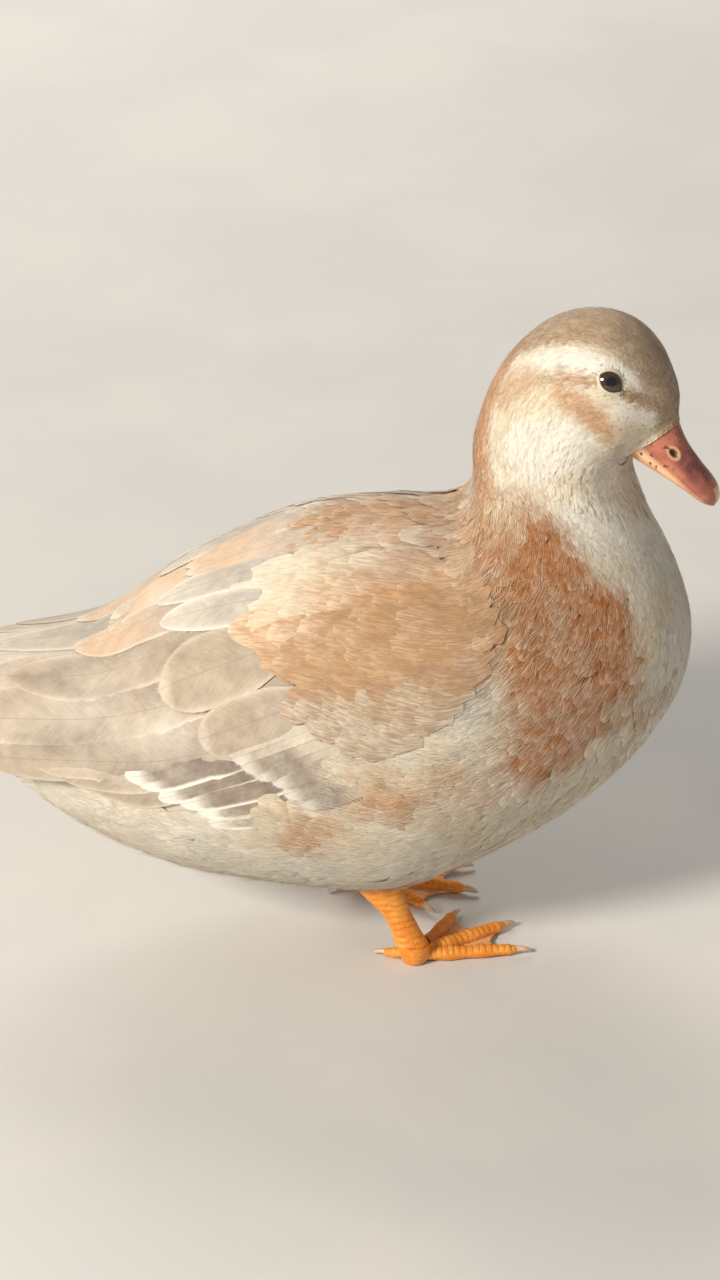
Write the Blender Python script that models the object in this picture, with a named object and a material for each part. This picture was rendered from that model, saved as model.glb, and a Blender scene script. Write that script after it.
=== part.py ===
# A bantam call duck standing still, life size: solids for body, head, bill, wings, tail and legs.
# +X is the way the bird faces, +Y its left, +Z up, and the soles stand on the plane z = 0.
import math
import random

import bmesh
import bpy
from mathutils import Matrix, Vector

MM = 0.001
GAP = 0.3  # left between two nodes that meet, in millimetres like every size below

# Each section of the body: the back's point and the belly's point in the plane of symmetry (x, z, x, z),
# the half width, how far up the widest level lies, and how much of the head's turn it takes
BODY_SECTIONS = (
    (-141, 92, -140, 76, 9, 0.55, 0),
    (-131, 98, -130, 61, 20, 0.55, 0),
    (-117, 104, -115, 48.5, 28, 0.54, 0),
    (-100, 113, -98, 38.5, 37, 0.55, 0),
    (-82, 125.5, -80, 31, 47, 0.57, 0),
    (-64, 137, -62, 26, 54, 0.57, 0),
    (-30, 152.5, -30, 22.3, 62, 0.54, 0),
    (0, 156.5, 0, 21, 64, 0.53, 0),
    (16, 156.5, 24, 30, 62.5, 0.53, 0),
    (23, 158.5, 46, 41, 59, 0.52, 0),
    (26, 162, 68, 55, 54, 0.52, 0),
    (27.5, 167, 87, 73, 47.5, 0.52, 0),
    (28, 172, 100, 95, 40, 0.5, 0),
    (28, 176, 103, 116, 34, 0.48, 0.05),
    (28, 180, 97.5, 137, 29, 0.48, 0.2),
    (28.3, 184, 88.5, 155, 25.5, 0.48, 0.45),
    (29.5, 190, 81.5, 168, 24.2, 0.45, 0.75),
    (33, 201, 80.3, 171, 25, 0.42, 0.95),
    (40, 213.5, 80, 173, 25.8, 0.44, 1),
    (51, 224.5, 79.8, 175, 25.6, 0.48, 1),
    (64, 229.6, 79.6, 176.5, 24.6, 0.53, 1),
    (77.5, 228.5, 79.5, 178, 22.6, 0.54, 1),
    (88, 221.5, 79.5, 179, 19.3, 0.52, 1),
    (94.6, 211.5, 79.4, 180, 14.5, 0.48, 1),
    (97, 204.5, 79.4, 180.8, 11.2, 0.48, 1),
    (97.2, 198, 79.3, 181.4, 9.3, 0.42, 1),
)
SQUARE = 2.15  # how full a body section is; 2 is an ellipse
RING_POINTS = 26
RINGS_A_SECTION = 2

# The folded wings lie on this, behind the body's fifth section
WING_TIP_SECTIONS = (
    (-182, 100, -182, 66, 22, 0.5, 0),
    (-165, 102, -165, 66, 27, 0.52, 0),
    (-148, 104, -148, 64, 31.5, 0.52, 0),
    (-131, 106.5, -131, 60, 36, 0.54, 0),
    (-100, 113, -98, 46, 42, 0.58, 0),
)
SECTIONS_SHARED_FROM = 4

HEAD_TURN = math.radians(20)  # to the bird's right, about an upright line through the neck
TURN_X = 66
EYE_LEVEL = (79.8, 215.4)  # between the eyes, the origin of the head's own axes, before the turn
HEAD_PITCH = math.radians(28)

TAIL_CUT_X = -92
NECK_CUT = ((26, 168), (90, 148))  # through nape and breast
HEAD_CUT = ((29.5, 189), (80.5, 169))  # through nape and throat

EYE_RADIUS = 6.5
EYE_SURFACE = 19.8  # how far out the head's side lies at the eyes
EYE_WAY = (0.26, 0.6)  # how far ahead and up the eyes look, against 1 outwards
SOCKET_GAP = GAP + 0.05
LID_RING = 4.75
LID_THICK = 0.65
LID_CLEAR = 0.55  # from the eyeball to the middle of the lid's rim

POCKET = 6.0  # how deep the body is let in under the wings
WING_RIM = -5.5  # how far out the wing's core lies at its rim
WING_THICK = 3.6
WING_UNDER = 2.0
WING_FRONT = 42
WING_BACK = -84
WING_STEPS = 11
WING_ACROSS = 6

SEED = 11
VANE_THICK = 0.6
CAMBER = 0.3  # how far a vane's middle stands above its edges
STACK = 1.05  # from one vane's face to the same face of its neighbour in the row
MOST_TILT = 0.22
VANE_SHAPE = ((0, 0.5), (0.35, 0.95), (0.7, 1.0), (0.9, 0.75), (1.0, 0.28))  # share of length, share of width

# Rows of vanes on a wing, the lowest layer first: how many, the roots of the first and the last vane
# (x, degrees), their tips, half the width, how far out the roots and the tips lie, points across a vane
WING_TIERS = {
    "primaries": (4, (-58, 6), (-64, 32), (-143, 0), (-139, 30), 5, (-5.0, -4.2), 2),
    "outer_secondaries": (3, (-12, 7), (-26, 8), (-52, -25), (-72, -19), 6.5, (-4.8, -2.4), 3),
    "inner_secondaries": (3, (-34, 0), (-50, 8), (-90, -14), (-112, -3), 5.5, (-4.8, -2.4), 3),
    "lower_tertials": (3, (-44, 8), (-52, 26), (-138, -5), (-146, 20), 8, (-4.4, -0.6), 3),
    "greater_coverts": (5, (2, 11), (-20, 32), (-30, -15), (-66, 14), 8, (-4.4, 0.0), 2),
    "upper_tertials": (3, (-36, 36), (-32, 56), (-132, 40), (-106, 72), 8.5, (-4.2, 2.6), 3),
    "median_coverts": (5, (22, 18), (2, 40), (-8, -3), (-38, 30), 7.5, (-4.0, 1.4), 2),
    "lesser_coverts": (4, (38, 28), (24, 46), (8, 12), (-10, 34), 7, (-3.4, 2.2), 2),
    "lower_scapulars": (4, (2, 44), (26, 48), (-58, 42), (-14, 34), 10, (-3.4, 3.0), 2),
    "upper_scapulars": (4, (-22, 58), (34, 50), (-68, 62), (2, 54), 9, (-3.4, 2.6), 2),
}

# The tail's feathers and the coverts above them fan in pairs from a point inside the rump (x, z), each
# pair lower than the one nearer the middle: pairs, first spread and step in degrees, reach of the roots,
# reach of the middle tips, how much shorter the outer ones grow, half the width, the middle's height
FAN_FROM = (-102, 90)
FAN_RISE = 0.12
FAN_STACK = 0.95
FAN_ROWS = {
    "tail_feathers": (5, 2.0, 5.0, 16, 64, 1.1, 5.6, 0.0),
    "upper_coverts": (3, 3.5, 7.5, 6, 46, 1.5, 5.8, 5.2),
}

# A row of vanes under the rump, in the same terms as the wings' rows
UNDER_COVERTS = (6, (-98, -150), (-98, -30), (-138, -146), (-138, -34), 6.5, (-3.0, 3.4), 2)

LEFT, RIGHT = 1, -1


def blend(a, b, t):
    return a + (b - a) * t


def ease(t):
    t = min(1.0, max(0.0, t))
    return t * t * (3 - 2 * t)


def spline(rows, u):
    """Catmull-Rom through rows of numbers, u counting rows from 0."""
    last = len(rows) - 1
    u = min(max(u, 0.0), float(last))
    i = min(int(u), last - 1)
    t = u - i
    before, here = rows[max(i - 1, 0)], rows[i]
    there, after = rows[i + 1], rows[min(i + 2, last)]
    return [
        0.5 * (2 * q + (r - p) * t + (2 * p - 5 * q + 4 * r - s) * t**2 + (3 * q - p - 3 * r + s) * t**3)
        for p, q, r, s in zip(before, here, there, after)
    ]


def turned(point, share=1.0):
    angle = -HEAD_TURN * share
    x, y, z = point
    x -= TURN_X
    return Vector(
        (TURN_X + x * math.cos(angle) - y * math.sin(angle), x * math.sin(angle) + y * math.cos(angle), z)
    )


def head_point(ahead, up, left=0.0):
    """A point in the head's own axes, set in the world."""
    x = EYE_LEVEL[0] + ahead * math.cos(HEAD_PITCH) + up * math.sin(HEAD_PITCH)
    z = EYE_LEVEL[1] - ahead * math.sin(HEAD_PITCH) + up * math.cos(HEAD_PITCH)
    return turned((x, left, z))


def eye_way(side):
    """The way that an eye looks out of the head."""
    ahead, up = EYE_WAY
    out = head_point(ahead, up, side)
    return (out - head_point(0, 0, 0)).normalized()


def lid_height():
    """How far the plane of the lid's rim lies from the eyeball's centre."""
    return math.sqrt((EYE_RADIUS + LID_CLEAR) ** 2 - LID_RING**2)


def eye_centre(side):
    return head_point(0, 0, side * EYE_SURFACE) - eye_way(side) * lid_height()


def rounded(value, power=SQUARE):
    return math.copysign(abs(value) ** (2 / power), value)


def on_section(row, angle, out=0.0):
    """A point round a section: angle 0 is the left side's widest level, 90 degrees the back."""
    back_x, back_z, belly_x, belly_z, half, level, turn = row
    up = Vector((back_x - belly_x, 0, back_z - belly_z))
    height = up.length
    up /= height
    rise = (1 - level) * height if math.sin(angle) >= 0 else level * height
    sideways = half * rounded(math.cos(angle))
    upwards = rise * rounded(math.sin(angle))
    normal = Vector((math.cos(angle) / half, math.sin(angle) / rise)).normalized()
    sideways += out * normal.x
    upwards += out * normal.y
    middle = Vector((belly_x, 0, belly_z)) + up * (level * height + upwards)
    return turned((middle.x, sideways, middle.z), turn)


WING_SECTIONS = WING_TIP_SECTIONS + BODY_SECTIONS[SECTIONS_SHARED_FROM:13]


def middle_x(row):
    return blend(row[2], row[0], row[5])


def wing_row(x):
    """The section of the surface that the wings lie on whose middle is at x."""
    low, high = 0.0, len(WING_SECTIONS) - 1.0
    for _ in range(30):
        u = (low + high) / 2
        if middle_x(spline(WING_SECTIONS, u)) < x:
            low = u
        else:
            high = u
    return spline(WING_SECTIONS, low)


def on_wing(x, degrees, out, side):
    point = on_section(wing_row(x), math.radians(degrees), out)
    point.y *= side
    return point


# The wing's outline on the body: x against the lowest and the highest angle, in degrees
WING_EDGES = (
    (-150, 14, 34),
    (-131, -6, 50),
    (-88, -13, 60),
    (-60, -22, 66),
    (-30, -14, 68),
    (0, 4, 68),
    (25, 18, 64),
    (46, 26, 54),
)


def wing_edges(x):
    rows = WING_EDGES
    if x <= rows[0][0]:
        return rows[0][1:]
    for row, after in zip(rows, rows[1:]):
        if x <= after[0]:
            t = ease((x - row[0]) / (after[0] - row[0]))
            return blend(row[1], after[1], t), blend(row[2], after[2], t)
    return rows[-1][1:]


def pocket_depth(x, degrees):
    """How far the body is let in at a place under a wing."""
    low, high = wing_edges(x)
    rim = 12.0
    across = ease((degrees - low + 4) / rim) * ease((high + 4 - degrees) / rim)
    along = ease((WING_FRONT + 6 - x) / 16)
    return POCKET * across * along


def new_object(name, mesh, material, collection):
    obj = bpy.data.objects.new(name, mesh)
    collection.objects.link(obj)
    if material:
        mesh.materials.append(material)
    return obj


def mesh_from(name, bm):
    bmesh.ops.recalc_face_normals(bm, faces=bm.faces)
    mesh = bpy.data.meshes.new(name)
    bm.to_mesh(mesh)
    bm.free()
    mesh.shade_smooth()
    mesh.set_sharp_from_angle(angle=math.radians(40))
    return mesh


def loft(rings):
    """A closed body through rings of as many points each, with flat ends."""
    bm = bmesh.new()
    made = [[bm.verts.new(Vector(point) * MM) for point in ring] for ring in rings]
    count = len(made[0])
    for one, other in zip(made, made[1:]):
        for i in range(count):
            j = (i + 1) % count
            bm.faces.new((one[i], one[j], other[j], other[i]))
    bm.faces.new(reversed(made[0]))
    bm.faces.new(made[-1])
    bmesh.ops.triangulate(bm, faces=bm.faces)
    return bm


def flesh():
    """The whole body from tail to face, let in under the wings."""
    rings = []
    last = len(BODY_SECTIONS) - 1
    for step in range(last * RINGS_A_SECTION + 1):
        row = spline(BODY_SECTIONS, step / RINGS_A_SECTION)
        x = middle_x(row)
        ring = []
        for i in range(RING_POINTS):
            angle = 2 * math.pi * i / RING_POINTS
            degrees = math.degrees(math.asin(math.sin(angle)))
            depth = pocket_depth(x, degrees) if step / RINGS_A_SECTION < 12 else 0.0
            ring.append(on_section(row, angle, -depth))
        rings.append(ring)
    return loft(rings)


def cut(bm, point, normal, back):
    """Takes away what lies past a plane, set back from it, and closes the cut."""
    normal = Vector(normal).normalized()
    place = (Vector(point) - normal * back) * MM
    geometry = bm.verts[:] + bm.edges[:] + bm.faces[:]
    found = bmesh.ops.bisect_plane(
        bm, geom=geometry, plane_co=place, plane_no=normal, clear_outer=True, dist=1e-7
    )
    rim = [item for item in found["geom_cut"] if isinstance(item, bmesh.types.BMEdge)]
    filled = bmesh.ops.contextual_create(bm, geom=rim)
    bmesh.ops.triangulate(bm, faces=filled["faces"])


def plane_through(points):
    """A point on a plane across the body through two places, and its normal towards the head."""
    (x0, z0), (x1, z1) = points
    along = Vector((x1 - x0, 0, z1 - z0)).normalized()
    return (x0, 0, z0), (-along.z, 0, along.x)


def reverse(normal):
    return tuple(-value for value in normal)


def material(name, colour, roughness, metallic=0.0):
    made = bpy.data.materials.new(name)
    made.use_nodes = True
    shader = made.node_tree.nodes["Principled BSDF"]
    shader.inputs["Base Color"].default_value = (*colour, 1)
    shader.inputs["Roughness"].default_value = roughness
    shader.inputs["Metallic"].default_value = metallic
    made.diffuse_color = (*colour, 1)
    return made


def grown(name, obj, by, collection):
    """A copy with every corner moved out along its normal, to cut a neighbour clear of the original."""
    bm = bmesh.new()
    bm.from_mesh(obj.data)
    bm.normal_update()
    for vertex in bm.verts:
        vertex.co += vertex.normal * vertex.calc_shell_factor() * by * MM
    copy = new_object(name, mesh_from(name, bm), None, collection)
    copy.hide_render = True
    copy.display_type = "WIRE"
    return copy


def apply_boolean(obj, operation, other=None, collection=None, solver="EXACT"):
    modifier = obj.modifiers.new("Cut", "BOOLEAN")
    modifier.operation = operation
    modifier.solver = solver
    if collection:
        modifier.operand_type = "COLLECTION"
        modifier.collection = collection
    else:
        modifier.object = other
    bpy.context.view_layer.update()
    graph = bpy.context.evaluated_depsgraph_get()
    mesh = bpy.data.meshes.new_from_object(obj.evaluated_get(graph))
    obj.modifiers.clear()
    old = obj.data
    obj.data = mesh
    bpy.data.meshes.remove(old)


def keep_largest(obj):
    """Keeps the largest closed surface, which drops a scrap or a sealed hollow."""
    bm = bmesh.new()
    bm.from_mesh(obj.data)
    bmesh.ops.remove_doubles(bm, verts=bm.verts, dist=1e-6)
    left = set(bm.verts)
    groups = []
    while left:
        group = {left.pop()}
        edge = list(group)
        while edge:
            vertex = edge.pop()
            for link in vertex.link_edges:
                other = link.other_vert(vertex)
                if other not in group:
                    group.add(other)
                    edge.append(other)
        left -= group
        groups.append(group)
    groups.sort(key=len)
    bmesh.ops.delete(bm, geom=[vertex for group in groups[:-1] for vertex in group], context="VERTS")
    bm.to_mesh(obj.data)
    bm.free()


# The bill in the head's own axes: top (ahead, up), cutting edge (ahead, up), half width
BILL_UPPER = (
    (24.2, -7.0, 17.6, -25.4, 8.6),
    (27.6, -10.9, 22, -25.6, 8.4),
    (32.4, -14.8, 28, -25.8, 8.1),
    (39.0, -18.2, 35, -26.1, 8.1),
    (44.5, -20.7, 41.5, -26.4, 8.3),
    (47.8, -22.5, 46, -26.7, 7.0),
    (49.6, -24.4, 48.8, -27.0, 4.2),
    (50.2, -25.8, 49.9, -27.2, 2.0),
)
BILL_LOWER = (
    (18, -25.9, 16.6, -30.2, 7.6),
    (28, -26.2, 27.5, -30.0, 7.2),
    (37, -26.6, 37, -29.4, 7.2),
    (43, -26.9, 43, -28.8, 6.9),
    (46.5, -27.2, 46.5, -28.4, 5.2),
    (48.2, -27.5, 48.2, -28.2, 2.6),
)


NOSTRIL_AT = (29.6, -17.0)  # ahead and up
NOSTRIL_OUT = 5.2
NOSTRIL_SIZE = (1.7, 1.4, 0.95)
NOSTRIL_TILT = math.radians(20)


def bill_ring(row, points, arch):
    """An arch over a flat floor."""
    top_ahead, top_up, low_ahead, low_up, half = row
    ring = []
    for i in range(points):
        angle = math.pi * i / (points - 1)
        share = math.sin(angle) ** arch
        ring.append(
            head_point(blend(low_ahead, top_ahead, share), blend(low_up, top_up, share), half * math.cos(angle))
        )
    return ring


def nostril(side, collection):
    place = head_point(*NOSTRIL_AT, side * NOSTRIL_OUT)
    tilt = Matrix.Rotation(HEAD_PITCH + NOSTRIL_TILT, 4, "Y")
    turn = Matrix.Rotation(-HEAD_TURN, 4, "Z")
    size = Matrix.Diagonal((*(Vector(NOSTRIL_SIZE) * MM), 1))
    bm = bmesh.new()
    bmesh.ops.create_uvsphere(bm, u_segments=10, v_segments=6, radius=1)
    bmesh.ops.transform(bm, matrix=Matrix.Translation(place * MM) @ turn @ tilt @ size, verts=bm.verts)
    mesh = bpy.data.meshes.new("nostril_cutter")
    bm.to_mesh(mesh)
    bm.free()
    cutter = new_object("nostril_cutter", mesh, None, collection)
    cutter.hide_render = True
    cutter.display_type = "WIRE"
    return cutter


def sphere(name, centre, radius, segments, rings, material_, collection):
    bm = bmesh.new()
    bmesh.ops.create_uvsphere(bm, u_segments=segments, v_segments=rings, radius=radius * MM)
    bmesh.ops.rotate(bm, matrix=Matrix.Rotation(math.radians(90), 3, "X"), verts=bm.verts)
    bmesh.ops.translate(bm, vec=Vector(centre) * MM, verts=bm.verts)
    return new_object(name, mesh_from(name, bm), material_, collection)


def lid(side, collection):
    """The rim of the lids, a ring round the eye."""
    way = eye_way(side)
    centre = eye_centre(side) + way * lid_height()
    bpy.ops.mesh.primitive_torus_add(
        major_segments=16, minor_segments=6, major_radius=LID_RING * MM, minor_radius=LID_THICK * MM
    )
    ring = bpy.context.object
    ring.name = "lid_ring"
    turn = way.to_track_quat("Z", "Y").to_matrix().to_4x4()
    ring.data.transform(Matrix.Translation(centre * MM) @ turn)
    for owner in list(ring.users_collection):
        owner.objects.unlink(ring)
    collection.objects.link(ring)
    return ring


# The legs, for the right one: hock to ankle (x, y, z), front to back half size, side to side half size
SHANK = (
    (-12, 27.5, 44, 9.0, 6.5),
    (-6.5, 28.6, 33, 8.5, 6.0),
    (-2, 29.4, 26, 7.2, 5.2),
    (2.5, 30.1, 19, 5.2, 4.2),
    (6, 30.6, 12, 5.0, 4.0),
    (8.5, 31, 6.3, 6.0, 4.8),
)
ANKLE = (9.5, 31)
SHANK_FOOT = 6.3  # the height at which shank and foot meet
SHANK_SIDES = 12
LEFT_BACK = 18.0  # how far the left foot stands behind the right one
LEFT_IN = 5.5
FOOT_TURN = {RIGHT: 34, LEFT: -16}  # degrees to the bird's left

# Each toe: its spread from the middle one in degrees, length, radius
TOES = (("inner", 30, 31, 2.5), ("middle", 0, 37, 2.9), ("outer", -27, 35, 2.6))
TOE_SHAPE = ((0, 1.15), (0.2, 1.05), (0.45, 1.0), (0.7, 0.92), (0.92, 0.82), (1.0, 0.5))
TOE_HEIGHT = 2.1
TOE_ROOT_HEIGHT = 3.2
TOE_SIDES = 8

# The hind toe: its angle from the middle one, length, radius, and its line as (share, height, radius share)
HIND_TOE = (129, 11.3, 2.0)
HIND_SHAPE = ((0.08, 4.4, 1.0), (0.42, 2.6, 1.0), (0.75, 1.6, 0.9), (1.0, 1.4, 0.6))

# The ankle's bulb, as (height, radius)
BULB = ((-0.5, 3.4), (0.8, 4.4), (3, 5.2), (5.2, 5.6), (7.5, 5.6))

CLAW = 5.0
HIND_CLAW = 3.6
HIND_CLAW_HEIGHT = 1.6
CLAW_SHAPE = ((0, 1.0), (0.35, 0.85), (0.7, 0.5), (1.0, 0.12))
CLAW_DROP = 1.0
CLAW_ARCH = 0.5

WEB = 0.9  # how thick the web is
WEB_HEIGHT = 0.35
WEB_ROOT = 3.0  # how far ahead of the ankle the web starts
WEB_REACH = 0.93  # share of each toe's length that the web reaches
WEB_HOLLOW = 0.16  # how far its edge is drawn in between two toes


def foot_frame(side):
    back = LEFT_BACK if side == LEFT else 0.0
    inward = LEFT_IN if side == LEFT else 0.0
    return Vector((ANKLE[0] - back, side * (ANKLE[1] - inward), 0)), FOOT_TURN[side]


def direction(degrees):
    return Vector((math.cos(math.radians(degrees)), math.sin(math.radians(degrees)), 0))


def toe_angle(side, turn, spread):
    """The inner toe lies towards the other foot."""
    return turn - side * spread


def tube(points, radii, sides, flat=1.0):
    rings = []
    for i, point in enumerate(points):
        along = (Vector(points[min(i + 1, len(points) - 1)]) - Vector(points[max(i - 1, 0)])).normalized()
        across = Vector((0, 0, 1)).cross(along).normalized()
        up = along.cross(across).normalized()
        rings.append(
            [
                Vector(point)
                + across * radii[i] * math.cos(2 * math.pi * k / sides)
                + up * radii[i] * flat * math.sin(2 * math.pi * k / sides)
                for k in range(sides)
            ]
        )
    return loft(rings)


def hind_way(side, turn):
    return direction(turn - side * HIND_TOE[0])


def web(centre, turn, tips):
    """The skin between the three front toes."""
    root = centre + direction(turn) * WEB_ROOT
    outline = [centre, tips[0]]
    for one, other in zip(tips, tips[1:]):
        for t in (0.25, 0.5, 0.75):
            edge = one.lerp(other, t)
            outline.append(edge.lerp(root, WEB_HOLLOW * math.sin(math.pi * t)))
        outline.append(other)
    bm = bmesh.new()
    low = [bm.verts.new((point + Vector((0, 0, WEB_HEIGHT))) * MM) for point in outline]
    high = [bm.verts.new((point + Vector((0, 0, WEB_HEIGHT + WEB))) * MM) for point in outline]
    count = len(outline)
    bm.faces.new(low)
    bm.faces.new(reversed(high))
    for i in range(count):
        j = (i + 1) % count
        bm.faces.new((low[i], high[i], high[j], low[j]))
    bmesh.ops.triangulate(bm, faces=bm.faces)
    return mesh_from("web", bm)


def foot(side, collection, scratch, skin):
    """Three toes and a web, a hind toe, and the ankle, with flat soles on the floor."""
    centre, turn = foot_frame(side)
    pieces = bpy.data.collections.new("foot_pieces")
    scratch.children.link(pieces)
    tips = []
    for name, spread, length, radius in TOES:
        way = direction(toe_angle(side, turn, spread))
        line = []
        for share, _ in TOE_SHAPE:
            height = blend(TOE_ROOT_HEIGHT, TOE_HEIGHT, ease(share * 3))
            line.append(centre + way * length * share + Vector((0, 0, height)))
        sizes = [radius * share for _, share in TOE_SHAPE]
        new_object(name, mesh_from(name, tube(line, sizes, TOE_SIDES, 0.9)), None, pieces)
        tips.append(centre + way * length * WEB_REACH)
    _, length, radius = HIND_TOE
    way = hind_way(side, turn)
    line = [centre + way * length * share + Vector((0, 0, height)) for share, height, _ in HIND_SHAPE]
    sizes = [radius * share for _, _, share in HIND_SHAPE]
    new_object("hind", mesh_from("hind", tube(line, sizes, TOE_SIDES)), None, pieces)
    new_object("web", web(centre, turn, tips), None, pieces)
    name = "foot_left" if side == LEFT else "foot_right"
    line = [centre + Vector((-0.5, 0, height)) for height, _ in BULB]
    bulb = tube(line, [size for _, size in BULB], SHANK_SIDES)
    obj = new_object(name, mesh_from(name, bulb), skin, collection)
    apply_boolean(obj, "UNION", collection=pieces)
    for piece in list(pieces.objects):
        bpy.data.objects.remove(piece)
    bpy.data.collections.remove(pieces)
    keep_largest(obj)
    bm = bmesh.new()
    bm.from_mesh(obj.data)
    cut(bm, (0, 0, 0), (0, 0, -1), 0)
    cut(bm, (0, 0, SHANK_FOOT - GAP), (0, 0, 1), 0)
    bm.to_mesh(obj.data)
    bm.free()
    return obj


def claw(name, base, way, radius, length, horn, collection):
    """A short curved claw, its tip just clear of the floor."""
    line = []
    for share, _ in CLAW_SHAPE:
        height = CLAW_ARCH * math.sin(math.pi * share) - CLAW_DROP * share
        line.append(base + way * length * share + Vector((0, 0, height)))
    sizes = [radius * share for _, share in CLAW_SHAPE]
    return new_object(name, mesh_from(name, tube(line, sizes, 6)), horn, collection)


def claws(side, horn, collection):
    centre, turn = foot_frame(side)
    label = "left" if side == LEFT else "right"
    for name, spread, length, radius in TOES:
        way = direction(toe_angle(side, turn, spread))
        base = centre + way * (length + GAP) + Vector((0, 0, TOE_HEIGHT))
        claw(f"claw_{name}_{label}", base, way, radius * 0.42, CLAW, horn, collection)
    _, length, radius = HIND_TOE
    way = hind_way(side, turn)
    base = centre + way * (length + GAP) + Vector((0, 0, HIND_CLAW_HEIGHT))
    claw(f"claw_hind_{label}", base, way, radius * 0.45, HIND_CLAW, horn, collection)


def shank(side, collection, skin):
    centre, _ = foot_frame(side)
    rings = []
    for x, y, z, front, wide in SHANK:
        place = Vector((x - ANKLE[0] + centre.x, centre.y + side * (y - ANKLE[1]), z))
        ring = []
        for k in range(SHANK_SIDES):
            angle = 2 * math.pi * k / SHANK_SIDES
            ring.append(place + Vector((front * math.cos(angle), wide * math.sin(angle), 0)))
        rings.append(ring)
    name = "shank_left" if side == LEFT else "shank_right"
    return new_object(name, mesh_from(name, loft(rings)), skin, collection)


def wing_core(side, collection, coat):
    """The wing's arm and hand with the roots of its feathers, a low pad let into the body."""
    rings = []
    for i in range(WING_STEPS + 1):
        t = i / WING_STEPS
        x = blend(WING_FRONT, WING_BACK, t)
        low, high = wing_edges(x)
        swell = ease(t * 6 + 0.2) * ease((1 - t) * 4 + 0.2)
        outer, inner = [], []
        for k in range(WING_ACROSS + 1):
            share = k / WING_ACROSS
            degrees = blend(low + 3, high - 3, share)
            out = WING_RIM + WING_THICK * swell * math.sin(math.pi * share) ** 0.6
            outer.append(on_wing(x, degrees, out, side))
            inner.append(on_wing(x, degrees, WING_RIM - WING_UNDER, side))
        rings.append(outer + inner[::-1])
    name = "wing_left" if side == LEFT else "wing_right"
    return new_object(name, mesh_from(name, loft(rings)), coat, collection)


def vane(surface, root, tip, half, outs, tilt, across=3):
    """One feather's vane laid on a surface, a thin closed mesh from its root (x, degrees) to its tip."""
    places = (-1, 0, 1) if across == 3 else (-1, 1)
    rows = []
    for share, wide in VANE_SHAPE:
        x = blend(root[0], tip[0], share)
        degrees = blend(root[1], tip[1], share)
        out = blend(outs[0], outs[1], share**0.6)
        radius = arc_radius(surface, x, degrees)
        along = Vector((tip[0] - root[0], radius * math.radians(tip[1] - root[1]))).normalized()
        for thick in (0, VANE_THICK):
            row = []
            for c in places:
                off = c * half * wide
                lift = out - tilt * off + CAMBER * (1 - abs(c)) * wide - thick
                row.append(surface(x + off * along.y, degrees - math.degrees(off * along.x / radius), lift))
            rows.append(row)
    bm = bmesh.new()
    made = [[bm.verts.new(point * MM) for point in row] for row in rows]
    tops, bottoms = made[0::2], made[1::2]
    for faces in (tops, bottoms):
        for here, there in zip(faces, faces[1:]):
            for k in range(across - 1):
                bm.faces.new((here[k], here[k + 1], there[k + 1]))
                bm.faces.new((here[k], there[k + 1], there[k]))
    for i in range(len(tops) - 1):
        for k in (0, across - 1):
            bm.faces.new((tops[i][k], tops[i + 1][k], bottoms[i + 1][k]))
            bm.faces.new((tops[i][k], bottoms[i + 1][k], bottoms[i][k]))
    for end in (0, -1):
        for k in range(across - 1):
            bm.faces.new((tops[end][k], bottoms[end][k], bottoms[end][k + 1]))
            bm.faces.new((tops[end][k], bottoms[end][k + 1], tops[end][k + 1]))
    return mesh_from("vane", bm)


def arc_radius(surface, x, degrees):
    """How many millimetres one radian round the surface takes at a place."""
    return (surface(x, degrees + 1, 0) - surface(x, degrees, 0)).length / math.radians(1)


def tier_tilt(surface, row):
    """How far a row's vanes lean, so that each one lies clear over the one before it."""
    count, first_root, last_root, first_tip, last_tip, half, outs, across = row
    if count < 2:
        return 0.0
    radius = arc_radius(surface, (first_tip[0] + last_tip[0]) / 2, (first_tip[1] + last_tip[1]) / 2)
    along = Vector((first_tip[0] - first_root[0], radius * math.radians(first_tip[1] - first_root[1])))
    rise = (outs[1] - outs[0]) / along.length * 0.6
    along.normalize()
    step = Vector((last_tip[0] - first_tip[0], radius * math.radians(last_tip[1] - first_tip[1]))) / (count - 1)
    ahead_of_it = -step.dot(along)
    beside_it = step.x * along.y - step.y * along.x
    if abs(beside_it) < 0.5:
        return 0.0
    tilt = (STACK - rise * ahead_of_it) / beside_it
    return max(-MOST_TILT, min(MOST_TILT, tilt))


def tier(surface, row, chance, pieces):
    """A row of vanes from its first place to its last, each lying over the one before."""
    count, first_root, last_root, first_tip, last_tip, half, outs, across = row
    tilt = tier_tilt(surface, row)
    for i in range(count):
        t = i / max(1, count - 1)
        root = [blend(a, b, t) for a, b in zip(first_root, last_root)]
        tip = [blend(a, b, t) for a, b in zip(first_tip, last_tip)]
        tip[0] += chance.uniform(-0.8, 0.8)
        mesh = vane(surface, root, tip, half * chance.uniform(0.96, 1.04), outs, tilt, across)
        new_object("vane", mesh, None, pieces)


def feathered(obj, pieces):
    """Joins a collection of vanes to the node that they grow from."""
    apply_boolean(obj, "UNION", collection=pieces)
    for piece in list(pieces.objects):
        bpy.data.objects.remove(piece)
    bpy.data.collections.remove(pieces)


def wing(side, collection, scratch, coat):
    obj = wing_core(side, collection, coat)
    pieces = bpy.data.collections.new("vanes")
    scratch.children.link(pieces)
    chance = random.Random(SEED)

    def surface(x, degrees, out):
        return on_wing(x, degrees, out, side)

    for row in WING_TIERS.values():
        tier(surface, row, chance, pieces)
    feathered(obj, pieces)
    return obj


def on_tail(x, degrees, out):
    """A place on the rump, where 0 degrees is the left side and 90 the back."""
    low, high = 0.0, float(SECTIONS_SHARED_FROM)
    for _ in range(30):
        u = (low + high) / 2
        if middle_x(spline(BODY_SECTIONS, u)) < x:
            low = u
        else:
            high = u
    return on_section(spline(BODY_SECTIONS, low), math.radians(degrees), out)


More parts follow.
